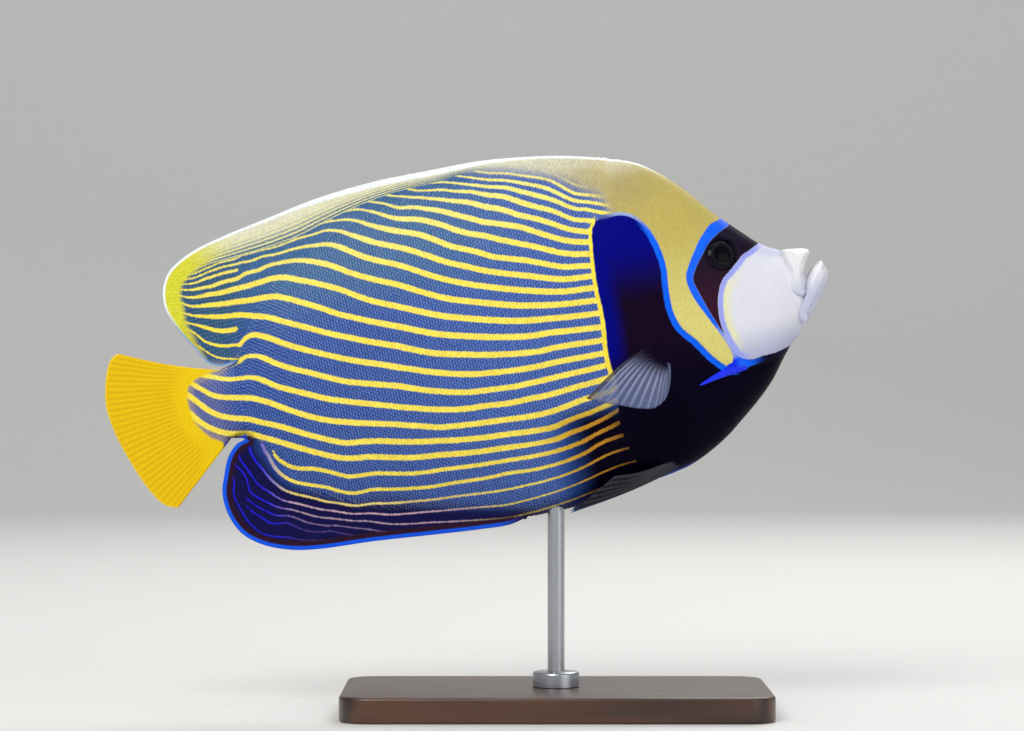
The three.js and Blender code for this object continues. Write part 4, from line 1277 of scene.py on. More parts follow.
def scale_rows(skin, span, spacing, row_gap, keep):
    """Columns and rows of the skin's grid where scales sit: rows are even along each column's own length,
    and every second column is set half a row on. keep(u, v, beyond, rim) says where scales grow."""
    spots = []
    middle = [np.interp(0, skin.place[c, :, 2], np.arange(skin.rows)) for c in range(skin.columns)]
    centre = skin.sample(skin.place, np.arange(skin.columns) * 1.0, np.array(middle))
    run = run_along(centre[:, [0, 2]])
    first, last = np.interp(span, centre[:, 0], run)
    for k, station in enumerate(np.arange(first, last, spacing)):
        column = float(np.interp(station, run, np.arange(skin.columns)))
        c = min(int(column), skin.columns - 2)
        length = skin.run[c] * (1 - column + c) + skin.run[c + 1] * (column - c)
        zero = np.interp(middle[c], np.arange(skin.rows), length)
        low = math.ceil(-zero / row_gap)
        high = math.floor((length[-1] - zero) / row_gap)
        at = zero + (np.arange(low, high + 1) + 0.5 * (k % 2)) * row_gap
        at = at[(at > 0.3) & (at < length[-1] - 0.3)]
        rows = np.interp(at, length, np.arange(skin.rows))
        spots.append(np.column_stack([np.full(len(at), column), rows]))
    spots = np.vstack(spots)
    place = skin.sample(skin.place, spots[:, 0], spots[:, 1])
    beyond = skin.sample(skin.beyond, spots[:, 0], spots[:, 1])
    rim = skin.sample(skin.rim, spots[:, 0], spots[:, 1])
    kept = keep(place[:, 0], place[:, 2], beyond, rim)
    return spots[kept]


def scale_pieces(name, skin, spots, gap, width, lift, light, material, seed):
    """Two meshes, right and left, of many overlapping scales: small closed wedges rooted in the skin."""
    draw = np.random.default_rng(seed)
    count = len(spots)
    column = spots[:, 0] + draw.uniform(-SCALE_JITTER, SCALE_JITTER, count)
    row = np.clip(spots[:, 1] + draw.uniform(-SCALE_JITTER, SCALE_JITTER, count), 0.2, skin.rows - 1.2)
    root = skin.sample(skin.place, column, row)
    out = skin.sample(skin.normal, column, row)
    out /= np.linalg.norm(out, axis=1, keepdims=True)
    back = -skin.sample(skin.along, column, row)
    beyond = skin.sample(skin.beyond, column, row)
    fan = np.where(root[:, 2] > 0, 1, -1) * 0.75 * ramp(0, 12, beyond)
    back[:, 2] += np.where(root[:, 0] < 0, 0, fan)
    back -= out * (back * out).sum(1, keepdims=True)
    back /= np.linalg.norm(back, axis=1, keepdims=True)
    across = np.cross(out, back)
    spread = draw.uniform(*SCALE_SPREAD, (count, 3))
    small = np.clip(gap * (SCALE_LENGTH - 0.35 * ramp(60, 10, root[:, 0])), 0.2, 4)
    lifts = np.full(count, lift) * (0.5 + 0.5 * small / small.max())
    sizes = np.column_stack([small, small * width, lifts])
    sizes *= spread
    sizes[:, 2] *= np.where(np.abs(root[:, 1]) < 0.9, 0.45, 1)

    form = np.array([*SCALE_FORM, SCALE_CROWN, SCALE_KEEL])
    local = sizes[:, None, :] * form[None]
    corners = root[:, None, :] + back[:, None] * local[..., 0:1] + across[:, None] * local[..., 1:2]
    corners = corners + out[:, None] * local[..., 2:3]
    rim = len(SCALE_FORM)
    each = rim + 2
    faces = [[j, (j + 1) % rim, rim] for j in range(rim)]
    faces += [[(j + 1) % rim, j, rim + 1] for j in range(rim)]
    faces = (np.array(faces)[None] + np.arange(count)[:, None, None] * each).reshape(-1, 3)
    fields = scale_fields(root, corners, skin.sample(skin.share, column, row), light)
    fields["scale_tip"] = np.tile(np.clip((form[:, 0] + SCALE_END) / (2 * SCALE_END), 0, 1), count)
    fields["scale_tone"] = np.repeat(draw.uniform(0, 1, count), each)

    for side, sign in SIDES:
        mesh = bpy.data.meshes.new(f"{name}_{side}")
        mesh.from_pydata(corners.reshape(-1, 3) * [1, sign, 1], [], faces[:, ::sign])
        for field, values in fields.items():
            set_field(mesh, field, values)
        add_bake_map(mesh, skin, column, row, form)
        piece = bpy.data.objects.new(mesh.name, mesh)
        bpy.context.scene.collection.objects.link(piece)
        mesh.shade_smooth()
        mesh.set_sharp_from_angle(angle=math.radians(62))
        mesh.materials.append(material)
        carry_to_part(mesh)
        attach(piece, "root")


def scale_fields(root, corners, share, light):
    """Marking fields at the corners of scales, from their values and slopes at each scale's root."""
    step = 0.5
    u, v = root[:, 0], root[:, 2]
    here = marking_fields(u, v, share)
    ahead = marking_fields(u + step, v, share)
    above = marking_fields(u, v + step, share)
    du = corners[..., 0] - u[:, None]
    dv = corners[..., 2] - v[:, None]
    fields = {}
    for name, values in here.items():
        slopes = [(other[name] - values)[:, None] / step for other in (ahead, above)]
        fields[name] = (values[:, None] + slopes[0] * du + slopes[1] * dv).ravel()
    fields["scale_light"] = np.full(corners.shape[0] * corners.shape[1], light)
    return fields


def add_bake_map(mesh, skin, column, row, form):
    """Lays each scale as a small patch at its root's place on the unrolled skin."""
    centre = np.column_stack([column / (skin.columns - 1), row / (skin.rows - 1)]) * 0.98 + 0.01
    patch = form[:, :2] * BAKE_PATCH
    flat = (centre[:, None, :] + patch[None]).reshape(-1, 2)
    layer = mesh.uv_layers.new(name="OFBake")
    corner = np.zeros(len(mesh.loops), int)
    mesh.loops.foreach_get("vertex_index", corner)
    layer.data.foreach_set("uv", flat[corner].astype(np.float32).ravel())


def on_body(u, v, beyond, rim):
    return (beyond < 1.0) & (distance_to(line_of(GILL_LINE), u, v) < -0.6)


def on_head(u, v, beyond, rim):
    clear_of_eye = np.hypot(u - EYE["u"], v - EYE["v"]) > EYE["radius"] + 2.2
    behind_lips = u < 276 + 0.25 * np.abs(v)
    return (distance_to(line_of(GILL_LINE), u, v) > 0.6) & clear_of_eye & behind_lips & (beyond < 0.5)


def on_fins(u, v, beyond, rim):
    on_tail = (distance_to(line_of(TAIL_EDGE), u, v) < 1.5) & ((v < 24) | (u < -14))
    return (beyond > 0.2) & (rim > 2.0) & ~on_tail


SCALE_REGIONS = [  # piece, where it runs, gaps between columns and rows, where it grows, lift, light, seed
    ("flank_scales", (-4, 240), 1.3, 1.9, on_body, 1.0, 1.0, 1),
    ("head_scales", (208, 284), 1.0, 1.4, on_head, 0.75, 0.55, 2),
    ("fin_scales", (-34, 202), 1.1, 1.5, on_fins, 0.7, 0.8, 3),
]


def build_scales(material, sizes):
    """Scales of the flank, the head and the fins, in one piece for each region and side."""
    skin = SkinMap()
    for name, span, column_gap, row_gap, keep, lift, light, seed in SCALE_REGIONS:
        gap = column_gap * sizes.scale_spacing
        spots = scale_rows(skin, span, gap, row_gap * sizes.scale_spacing, keep)
        width = SCALE_WIDTH * row_gap / (SCALE_LENGTH * column_gap)
        scale_pieces(name, skin, spots, gap, width, sizes.scale_lift / MM * lift, light, material, seed)


# Lips
UPPER_LIP = [
    [276.2, 15], [276.6, 10], [277.4, 7], [278, 4], [277.6, 1.4], [276.4, -0.6], [275.4, -3.2],
    [276.4, -6.2], [279.4, -9], [282.4, -9.4], [284.6, -7.4], [285.3, -3.6], [285.2, 0.6], [286, 3.6],
    [287.4, 6.8], [290.1, 11.2], [289.4, 12.6], [286.5, 13.9], [283, 14.5], [279.4, 14.9],
]
LOWER_LIP = [
    [284.6, -1.8], [287, 1.4], [289.2, 3.9], [291.6, 5.5], [293.6, 6.4], [294.8, 5.7], [295.8, 3.2],
    [296.8, 0.6], [296.5, -2.2], [295.1, -4.4], [292.6, -7.8], [289.6, -11.6], [286.6, -14.9],
    [283.4, -18.4], [280.4, -21.8], [277.6, -20.4], [277.2, -15.5], [279.6, -11.2], [282.6, -6.6],
]
UPPER_SPINE = [[280.6, -5.2], [281.0, -1], [281.8, 3], [282.8, 7], [283.4, 10]]
LOWER_SPINE = [[281.4, -16.4], [284.4, -12.4], [287.8, -7.4], [290.8, -2.6], [292.8, 1.4]]
LIP_STEPS = 120
LIP_RINGS = 20


def lip_width(u, v):
    """Half width over the lips, which swell a little past the skin beside them."""
    swell = 0.9 - 0.5 * float(ramp(283, 277, u))
    return (float(width_at(u)) + swell) * (1 - 0.16 * abs(v / 22) ** 2)


def lip_form(outline, spine, radius_of):
    """A soft closed form over a side-view outline: rings shrink from the outline to a line inside it."""
    edge = at_shares(smooth_line([*outline, outline[0]], 16), np.linspace(0, 1, LIP_STEPS))
    edge[-1] = edge[0]
    spine = smooth_line(spine, 16)
    place = np.zeros((LIP_STEPS, LIP_RINGS, 3))
    for i in range(LIP_STEPS):
        near = spine[np.hypot(*(spine - edge[i]).T).argmin()]
        radius = radius_of(edge[i][0], edge[i][1])
        for j in range(LIP_RINGS):
            point = edge[i] + (near - edge[i]) * (1 - math.cos(j / (LIP_RINGS - 1) * math.pi / 2))
            bend = min(float(np.hypot(*(point - edge[i]))) / radius, 1)
            place[i, j] = [point[0], -lip_width(point[0], point[1]) * rounded(bend), point[1]]
    return grid_piece(place)


def build_lips(material):
    forms = [
        ("upper_lip", UPPER_LIP, UPPER_SPINE, "upper_jaw", lambda u, v: 2.4 if u < 281 or v < -6 else 4.2),
        ("lower_lip", LOWER_LIP, LOWER_SPINE, "lower_jaw", lambda u, v: 2.2 if u < 284 else 4.2),
    ]
    for name, outline, spine, jaw, radius_of in forms:
        bm = lip_form(outline, spine, radius_of)
        piece = finish_piece(bm, name, [jaw], material, both_sides=True)
        places = vertex_places(piece.data)
        edge = line_of([*outline, outline[0]])
        set_field(piece.data, "lip_rim", np.abs(distance_to(edge, places[:, 0], places[:, 2])))
        set_field(piece.data, "along", places[:, 0])
        set_field(piece.data, "height", places[:, 2])
        carry_to_part(piece.data)


# Eyes
def outward(u, v):
    """The flank's outward direction on the fish's right, in its frame."""
    step = 0.5
    du = (flank_width(u + step, v) - flank_width(u - step, v)) / (2 * step)
    dv = (flank_width(u, v + step) - flank_width(u, v - step)) / (2 * step)
    return Vector((-float(du), -1, -float(dv))).normalized()


def on_flank(u, v):
    return Vector((u, -float(flank_width(u, v)), v))


def eyeball(sign):
    """A flattened ball set in the orbit. eye_ring is each point's distance from its axis."""
    out = outward(EYE["u"], EYE["v"])
    centre = on_flank(EYE["u"], EYE["v"]) + out * (EYE["proud"] - EYE["depth"])
    turn = Vector((0, 0, 1)).rotation_difference(out).to_matrix().to_4x4()
    radius = EYE["radius"] - EYE["gap"]
    bm = bmesh.new()
    bmesh.ops.create_uvsphere(bm, u_segments=64, v_segments=40, radius=1)
    ring = bm.verts.layers.float.new("eye_ring")
    for vert in bm.verts:
        vert[ring] = math.hypot(vert.co.x, vert.co.y) if vert.co.z > 0 else 1.0
    bmesh.ops.scale(bm, vec=(radius, radius, EYE["depth"]), verts=bm.verts[:])
    bmesh.ops.transform(bm, matrix=turn, verts=bm.verts[:])
    bmesh.ops.translate(bm, vec=centre, verts=bm.verts[:])
    bmesh.ops.scale(bm, vec=(1, sign, 1), verts=bm.verts[:])
    return bm


def build_eyes(material):
    finish_pair(eyeball, "eyeball", "eye", material)


# Nostrils
NOSTRILS = [(259.2, 20.6, 0.95), (256.6, 23.4, 0.75)]  # u, v and the rim's radius
NOSTRIL_TUBE = 0.34
NOSTRIL_LIFT = 0.1


def build_nostrils(material):
    """Small raised rims round the two nostrils on each side."""
    for side, sign in SIDES:
        bm = bmesh.new()
        for u, v, radius in NOSTRILS:
            out = outward(u, v)
            tube = bmesh.ops.create_circle(bm, segments=12, radius=NOSTRIL_TUBE)["verts"]
            bmesh.ops.rotate(bm, verts=tube, matrix=Matrix.Rotation(math.pi / 2, 3, "X"))
            bmesh.ops.translate(bm, verts=tube, vec=(radius, 0, 0))
            edges = list(dict.fromkeys(edge for vert in tube for edge in vert.link_edges))
            bmesh.ops.spin(
                bm, geom=tube + edges, cent=(0, 0, 0), axis=(0, 0, 1), angle=2 * math.pi, steps=32,
                use_merge=True,
            )
            made = [vert for vert in bm.verts if not vert.tag]
            turn = Vector((0, 0, 1)).rotation_difference(out).to_matrix().to_4x4()
            place = Matrix.Translation(on_flank(u, v) + out * NOSTRIL_LIFT) @ turn
            bmesh.ops.transform(bm, matrix=place, verts=made)
            for vert in bm.verts:
                vert.tag = True
        bmesh.ops.scale(bm, vec=(1, sign, 1), verts=bm.verts[:])
        piece = finish_piece(bm, f"nostril_rims_{side}", (), material)
        places = vertex_places(piece.data)
        paint_mesh(piece.data, places[:, 0], places[:, 2])
        carry_to_part(piece.data)


# Cheek spines
CHEEK_SPINE = {
    "root": (252, -32.9), "tip": (224.8, -38.6), "arch": 0.3, "radius": 3.8, "tip_radius": 0.4,
    "root_depth": 1.8, "rise": 3.0, "flatness": 0.6,
}
SPINE_RINGS = 34
SPINE_SIDES = 24


def build_cheek_spines(material):
    """A flat pointed blade on each side, sunk in the cheek at its root and free at its tip."""
    root_u, root_v = CHEEK_SPINE["root"]
    tip_u, tip_v = CHEEK_SPINE["tip"]
    place = np.zeros((SPINE_RINGS, SPINE_SIDES + 1, 3))
    for i in range(SPINE_RINGS):
        s = i / (SPINE_RINGS - 1)
        u = root_u + (tip_u - root_u) * s
        v = root_v + (tip_v - root_v) * s + CHEEK_SPINE["arch"] * math.sin(math.pi * s)
        out = outward(u, v)
        centre = on_flank(u, v) + out * (CHEEK_SPINE["rise"] * s - CHEEK_SPINE["root_depth"])
        taper = CHEEK_SPINE["radius"] + (CHEEK_SPINE["tip_radius"] - CHEEK_SPINE["radius"]) * s**0.9
        radius = taper * math.sqrt(max(1 - max(1 - s / 0.16, 0) ** 2 - max(s / 0.1 - 9, 0) ** 2, 0))
        radius = 0 if i in (0, SPINE_RINGS - 1) else radius
        for j in range(SPINE_SIDES + 1):
            angle = 2 * math.pi * j / SPINE_SIDES
            across = out * math.cos(angle) * radius * CHEEK_SPINE["flatness"]
            place[i, j] = centre + across + Vector((0, 0, math.sin(angle) * radius))
    finish_pair(
        lambda sign: grid_piece(place * [1, sign, 1]),
        "cheek_spine_blade", "cheek_spine", material,
    )


# Paired fins: root line and margin are curves in space, y counted outwards, from the skin on the pectoral
PECTORAL_ROOT = [[215, -14.5], [212.4, -21.5], [209, -29]]
PECTORAL_TIPS = [
    [171.6, 37, -33.2], [177, 46, -36], [185, 52, -39], [192.5, 55, -42], [199.5, 54, -43.6],
    [205.5, 47, -41.4], [209.4, 38, -36.6], [211.4, 28, -30.5],
]
PECTORAL = {"columns": 171, "rows": 60, "rays": 17, "root": 0.9, "edge": 0.22, "ridge": 0.26}
PELVIC_ROOT = [[215, 4.5, -72.4], [211.5, 6.2, -71.2], [208, 8, -69.6]]
PELVIC_TIPS = [
    [154.5, 9.5, -84.9], [159, 11.4, -82.4], [165, 13.6, -79], [171.5, 15.8, -75.4], [178, 17.6, -71.8],
]
PELVIC = {"columns": 61, "rows": 60, "rays": 6, "root": 1.3, "edge": 0.35, "ridge": 0.4}
FAN_RIDGE = 0.2  # width of a ray's ridge, in gaps between rays


def fan_surface(root, tips, bow, form):
    """Points of a fin's middle surface between a root line and a line of ray tips."""
    c = np.linspace(0, 1, form["columns"])[:, None, None]
    r = np.linspace(0, 1, form["rows"])[None, :, None]
    start = at_shares(smooth_line(root), c[:, 0, 0])[:, None, :]
    end = at_shares(smooth_line(tips), c[:, 0, 0])[:, None, :]
    return start + (end - start) * r + bow(c, r)


def fin_bmesh(middle, form):
    """A closed fin made of the two faces of a curved plate round its middle surface."""
    across = np.gradient(middle, axis=0)
    along = np.gradient(middle, axis=1)
    normal = np.cross(across, along)
    normal /= np.maximum(np.linalg.norm(normal, axis=2, keepdims=True), 1e-9)
    half = fin_half(form)[..., None]
    near = middle + normal * half
    far = middle - normal * half
    bm = grid_piece(np.concatenate([near, far[::-1], near[:1]], axis=0))
    share = np.linspace(0, 1, form["columns"])
    share = np.concatenate([share, share[::-1], share[:1]])
    ray = bm.verts.layers.float.new("ray")
    reach = bm.verts.layers.float.new("reach")
    lead = bm.verts.layers.float.new("lead")
    cell = bm.verts.layers.int["cell"]
    for vert in bm.verts:
        column, row = divmod(vert[cell], form["rows"])
        vert[ray] = float(ray_ridge(share[column], form["rays"], FAN_RIDGE))
        vert[reach] = row / (form["rows"] - 1)
        vert[lead] = share[column]
    return bm


def fin_half(form):
    """Half thickness of a fanned fin: thick at the root, thin at the margin, with a ridge on each ray."""
    c = np.linspace(0, 1, form["columns"])[:, None]
    r = np.linspace(0, 1, form["rows"])[None, :]
    plate = form["root"] + (form["edge"] - form["root"]) * r**0.8
    branch = ray_ridge(c + r * 0, form["rays"], FAN_RIDGE) * (1 - 0.5 * r)
    half = plate * 0.62 + form["ridge"] * branch
    side = np.minimum(c, 1 - c) * form["columns"]
    rim = np.minimum(np.minimum(side / 2.5, 1), np.minimum((1 - r) * form["rows"] / 2.0, 1))
    return half * rounded(rim)


def build_pectoral_fins(material):
    root = [[u, 3 - float(flank_width(u, v)), v] for u, v in PECTORAL_ROOT]
    flank = float(flank_width(212, -22))
    tips = [[u, -flank - y, v] for u, y, v in PECTORAL_TIPS]

    def bow(c, r):
        rise = 4.5 * np.sin(np.pi * r)
        return np.concatenate([0.5 * rise + 0 * c, 0 * rise + 0 * c, rise + 0 * c], axis=2)

    middle = fan_surface(root, tips, bow, PECTORAL)
    finish_pair(
        lambda sign: fin_bmesh(middle * [1, sign, 1], PECTORAL),
        "pectoral_membrane", "pectoral_fin", material,
    )


def build_pelvic_fins(material):
    root = [[u, -y, v] for u, y, v in PELVIC_ROOT]
    tips = [[u, -y, v] for u, y, v in PELVIC_TIPS]

    def bow(c, r):
        rise = 3.4 * np.sin(np.pi * r)
        return np.concatenate([0 * rise + 0 * c, -rise * c, -0.5 * rise + 0 * c], axis=2)

    middle = fan_surface(root, tips, bow, PELVIC)
    finish_pair(
        lambda sign: fin_bmesh(middle * [1, sign, 1], PELVIC),
        "pelvic_membrane", "pelvic_fin", material,
    )


# Materials of the smaller pieces
def lip_material(colours, grain):
    material, s, surface = new_material("lips")
    skin = s.group(grain, {"Size": 1.6}).outputs
    # The lips turn greyer towards the bottom: painted shade.
    paint = Paint(s, s.mix(s.rise(s.field("height"), 6, -10), colours["lip"], colours["lip_low"]))
    inner = s.both(s.rise(s.field("lip_rim"), 1.0, 0.1), s.rise(s.field("along"), 279, 283))
    paint.over(s.times(inner, 0.35), colours["mouth"])
    tone = s.fit(skin["Tone"], 0.16, 0.9)
    dress(surface, s, {
        "Base Color": s.brighten(paint.colour, tone),
        "Roughness": s.fit(skin["Height"], 0.1, 0.3),
        "Normal": s.bump(skin["Height"], 0.00006, 0.5),
        "Subsurface Weight": 0.08,
        "Subsurface Radius": (0.004, 0.002, 0.002),
    })
    return material


def eye_material(colours):
    material, s, surface = new_material("eye_gloss")
    ring = s.field("eye_ring")
    streaks = s.noise(s.object_place(scale=(1000, 1000, 1000)), 1.4, 3.0)
    paint = Paint(s, colours["pupil"])
    iris = s.brighten(colours["iris"], s.fit(streaks, 1.2, 0.4))
    paint.over(s.rise(ring, 0.56, 0.62), iris)
    paint.over(s.times(s.band(ring, 0.57, 0.62, 0.02), 0.18), colours["iris_ring"])
    paint.over(s.rise(ring, 0.86, 0.97), colours["mask"])
    rough = s.fit(streaks, 0.05, 0.09)
    dress(surface, s, {"Base Color": paint.colour, "Roughness": rough, "Specular IOR Level": 0.07})
    return material


def cheek_spine_material(colours):
    material, s, surface = new_material("cheek_spine_gloss")
    streak = s.noise(s.object_place(scale=(300, 1500, 1500), rotation=(0, PITCH, 0)), 1.0, 3.0)
    tone = s.fit(streak, 0.5, 0.75)
    dress(surface, s, {
        "Base Color": s.brighten(colours["cheek_spine"], tone),
        "Roughness": s.fit(streak, 0.15, 0.2),
        "Normal": s.bump(streak, 0.00006, 0.4),
        "Specular IOR Level": 0.3,
    })
    return material


def fin_material(name, membrane, ray_colour, edge_colour, root_colour, clear):
    """A fin's membrane with paler rays and a coloured front edge. clear is how much shows through it."""
    material, s, surface = new_material(name)
    ray = s.field("ray")
    reach = s.field("reach")
    fibres = s.noise(s.object_place(scale=(1000, 1000, 1000)), 0.8, 3.0)
    paint = Paint(s, s.brighten(membrane, s.fit(fibres, 0.5, 0.75)))
    paint.over(s.both(ray, s.rise(reach, 1.15, 0.45)), ray_colour)
    between = s.fit(ray, -0.12, reach)
    paint.over(s.rise(between, 0.62, 0.24), root_colour)
    paint.over(s.rise(s.field("lead"), 0.1, 0.02), edge_colour)
    rough = s.fit(fibres, 0.15, 0.3)
    dress(surface, s, {"Base Color": paint.colour, "Roughness": rough, "Normal": s.bump(ray, 0.00025, 0.6)})
    if clear:
        solid = s.fit(ray, 0.35, 1 - clear)
        s.feed(surface.inputs["Alpha"], s.blend(s.rise(reach, 0.26, 0.62), 0.03, solid))
    return material


def wood_material(colours):
    """Dark walnut with grain along the base's length, under a satin lacquer."""
    material, s, surface = new_material("walnut")
    grain = s.object_place(scale=(6, 60, 60))
    wave = {"Vector": grain, "Scale": 0.55, "Distortion": 7.0, "Detail": 3.0, "Detail Scale": 1.2}
    waves = s.node("TexWave", wave, bands_direction="Y").outputs["Fac"]
    pores = s.noise(s.object_place(scale=(90, 1700, 1700)), 1.0, 3.0, 0.7)
    patches = s.noise(s.object_place(scale=(8, 20, 20)), 1.0, 2.0)
    paint = Paint(s, s.mix(waves, colours["walnut"], colours["walnut_dark"]))
    paint.over(s.times(s.rise(pores, 0.58, 0.72), 0.7), colours["walnut_dark"])
    dress(surface, s, {
        "Base Color": s.brighten(paint.colour, s.fit(patches, 0.5, 0.75)),
        "Roughness": s.fit(pores, 0.18, 0.28),
        "Normal": s.bump(pores, 0.0001, 0.35),
        "Coat Weight": 0.25,
        "Coat Roughness": 0.2,
    })
    return material


def steel_material(colours):
    """Stainless steel, brushed round the rod and collar."""
    material, s, surface = new_material("brushed_steel")
    brush = s.noise(s.object_place(scale=(60, 60, 4200)), 1.0, 2.0)
    smudge = s.noise(s.object_place(scale=(120, 120, 120)), 1.0, 3.0)
    rough = s.math("ADD", s.fit(brush, 0.18, 0.16), s.times(smudge, 0.1))
    dress(surface, s, {
        "Base Color": s.brighten(colours["steel"], s.fit(brush, 0.2, 0.9)),
        "Roughness": rough,
        "Normal": s.bump(brush, 0.00003, 0.4),
        "Metallic": 1.0,
    })
    return material


# Stand
STAND_SIDES = 72
RING_GAP = 0.0002
RING_CHAMFER = 0.0006
RING_STEPS = 6


def stand_box(node):
    """Low and high corner of a stand node's solid."""
    return [Vector(corner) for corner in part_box(node)]


def round_edges(bm, chosen, radius, segments):
    """Bevels the edges whose rise from end to end is one that chosen(rise) wants."""
    edges = [edge for edge in bm.edges if chosen(abs(edge.verts[0].co.z - edge.verts[1].co.z))]
    bmesh.ops.bevel(
        bm, geom=edges, offset=radius, segments=segments, affect="EDGES", profile=0.5, material=-1
    )


def finish_stand(bm, name, node, material):
    piece = finish_piece(bm, name, [node], material)
    piece.data.set_sharp_from_angle(angle=math.radians(35))


def build_board(material, sizes):
    """The wooden base: a flat board with rounded corners and softened edges."""
    low, high = stand_box("stand_base")
    bm = bmesh.new()
    bmesh.ops.create_cube(bm, size=1)
    bmesh.ops.scale(bm, vec=high - low, verts=bm.verts[:])
    bmesh.ops.translate(bm, vec=(low + high) / 2, verts=bm.verts[:])
    round_edges(bm, lambda height: height > 0.001, sizes.base_corner, 14)
    round_edges(bm, lambda height: height < 1e-6, sizes.base_rim, 5)
    finish_stand(bm, "stand_board", "stand_base", material)


def build_pole(material):
    """The steel rod, which gives back its radius for the collar's hole."""
    low, high = stand_box("stand_rod")
    radius = (high.x - low.x) / 2
    bm = bmesh.new()
    bmesh.ops.create_cone(
        bm, segments=STAND_SIDES, radius1=radius, radius2=radius, depth=high.z - low.z, cap_ends=True,
        cap_tris=False,
    )
    bmesh.ops.translate(bm, vec=(low + high) / 2, verts=bm.verts[:])
    finish_stand(bm, "stand_pole", "stand_rod", material)
    return radius


def build_ring(material, lip, rod_radius):
    """The collar: its section, with a rounded top edge and a small chamfer by the rod, spun full circle."""
    low, high = stand_box("stand_collar")
    outer = (high.x - low.x) / 2
    inner = rod_radius + RING_GAP
    profile = [(inner, low.z), (outer, low.z), (outer, high.z - lip)]
    for k in range(1, RING_STEPS + 1):
        angle = k / RING_STEPS * math.pi / 2
        profile.append((outer - lip * (1 - math.cos(angle)), high.z - lip + lip * math.sin(angle)))
    profile += [(inner + RING_CHAMFER, high.z), (inner, high.z - RING_CHAMFER)]
    bm = bmesh.new()
    verts = [bm.verts.new((x, 0, z)) for x, z in profile]
    edges = [bm.edges.new((a, b)) for a, b in zip(verts, verts[1:] + verts[:1])]
    bmesh.ops.spin(
        bm, geom=verts + edges, cent=(0, 0, 0), axis=(0, 0, 1), angle=2 * math.pi, steps=STAND_SIDES,
        use_merge=True,
    )
    finish_stand(bm, "stand_ring", "stand_collar", material)


def build_stand(colours, sizes):
    build_board(wood_material(colours), sizes)
    steel = steel_material(colours)
    radius = build_pole(steel)
    build_ring(steel, sizes.base_rim, radius)


# Stage
CAMERA_PLACE = (-0.0207, -1.6, 0.1629)
CAMERA_LENS = 119.7
LIGHTS = {  # place, watts, size in metres
    "key": ((-0.9, -1.9, 1.9), 40, 1.2),
    "fill": ((1.6, -1.5, 0.7), 9, 1.6),
    "back": ((0.5, 1.3, 1.5), 16, 1.0),
    "top": ((0.0, 0.0, 2.2), 8, 1.6),
}
LIGHTS_AIM = (0, 0, 0.14)
SWEEP = {"front": -5.0, "back": 2.2, "radius": 0.9, "top": 4.0, "half_width": 6.0, "steps": 48}
SKY = {"Color": (0.9, 0.94, 1), "Strength": 0.42}


def place_on_stage(name, data, place=(0, 0, 0), turn=(0, 0, 0)):
    """Links a floor, light or camera to the scene. It is no piece of the model."""
    thing = bpy.data.objects.new(name, data)
    thing.location = place
    thing.rotation_euler = turn
    bpy.context.scene.collection.objects.link(thing)
    return thing


def floor_material(colours):
    material, s, surface = new_material("studio_floor")
    speckle = s.noise(s.object_place(scale=(60, 60, 60)), 1.0, 3.0)
    tone = s.fit(speckle, 0.03, 0.985)
    rough = s.fit(speckle, 0.1, 0.7)
    dress(surface, s, {"Base Color": s.brighten(colours["floor"], tone), "Roughness": rough})
    return material


def build_floor(material):
    """A pale floor that curves up behind the model."""
    radius = SWEEP["radius"]
    profile = [(SWEEP["front"], 0.0), (SWEEP["back"], 0.0)]
    for k in range(1, SWEEP["steps"] + 1):
        angle = k / SWEEP["steps"] * math.pi / 2
        profile.append((SWEEP["back"] + radius * math.sin(angle), radius * (1 - math.cos(angle))))
    profile.append((profile[-1][0], SWEEP["top"]))
    bm = bmesh.new()
    bmesh.ops.create_grid(bm, x_segments=1, y_segments=len(profile) - 1, size=1)
    for vert in bm.verts:
        y, z = profile[round((vert.co.y + 1) / 2 * (len(profile) - 1))]
        vert.co = (vert.co.x * SWEEP["half_width"], y, z)
    mesh = bpy.data.meshes.new("floor")
    bm.to_mesh(mesh)
    bm.free()
    mesh.shade_smooth()
    mesh.materials.append(material)
    place_on_stage("floor", mesh)


def build_stage(colours):
    """The floor, the camera, four soft lights and a pale sky."""
    build_floor(floor_material(colours))
    camera = bpy.data.cameras.new("camera")
    camera.lens = CAMERA_LENS
    bpy.context.scene.camera = place_on_stage("camera", camera, CAMERA_PLACE, (math.pi / 2, 0, 0))
    for name, (place, watts, size) in LIGHTS.items():
        light = bpy.data.lights.new(name, "AREA")
        light.energy = watts
        light.size = size
        aim = (Vector(LIGHTS_AIM) - Vector(place)).to_track_quat("-Z", "Y").to_euler()
        place_on_stage(name, light, place, aim)
    world = bpy.data.worlds.new("studio")
    world.use_nodes = True
    dress(world.node_tree.nodes["Background"], Shader(world.node_tree), SKY)
    bpy.context.scene.world = world
    bpy.context.scene.view_settings.view_transform = "Standard"


# Add-on: settings, operators and panel
def colour_settings():
    """One colour setting for each entry of the palette."""
    made = {}
    for key, (red, green, blue, paints) in PALETTE.items():
        made[key] = bpy.props.FloatVectorProperty(
            name=key.replace("_", " ").capitalize(),
            description=f"Colour of the {paints}",
            default=srgb(red, green, blue),
            size=3,
            min=0,
            max=1,
            subtype="COLOR",
        )
    return made


class AngelfishColours(bpy.types.PropertyGroup):
    """Colours of the model"""

    __annotations__ = colour_settings()

    def as_table(self):
        return {key: tuple(getattr(self, key)) for key in PALETTE}


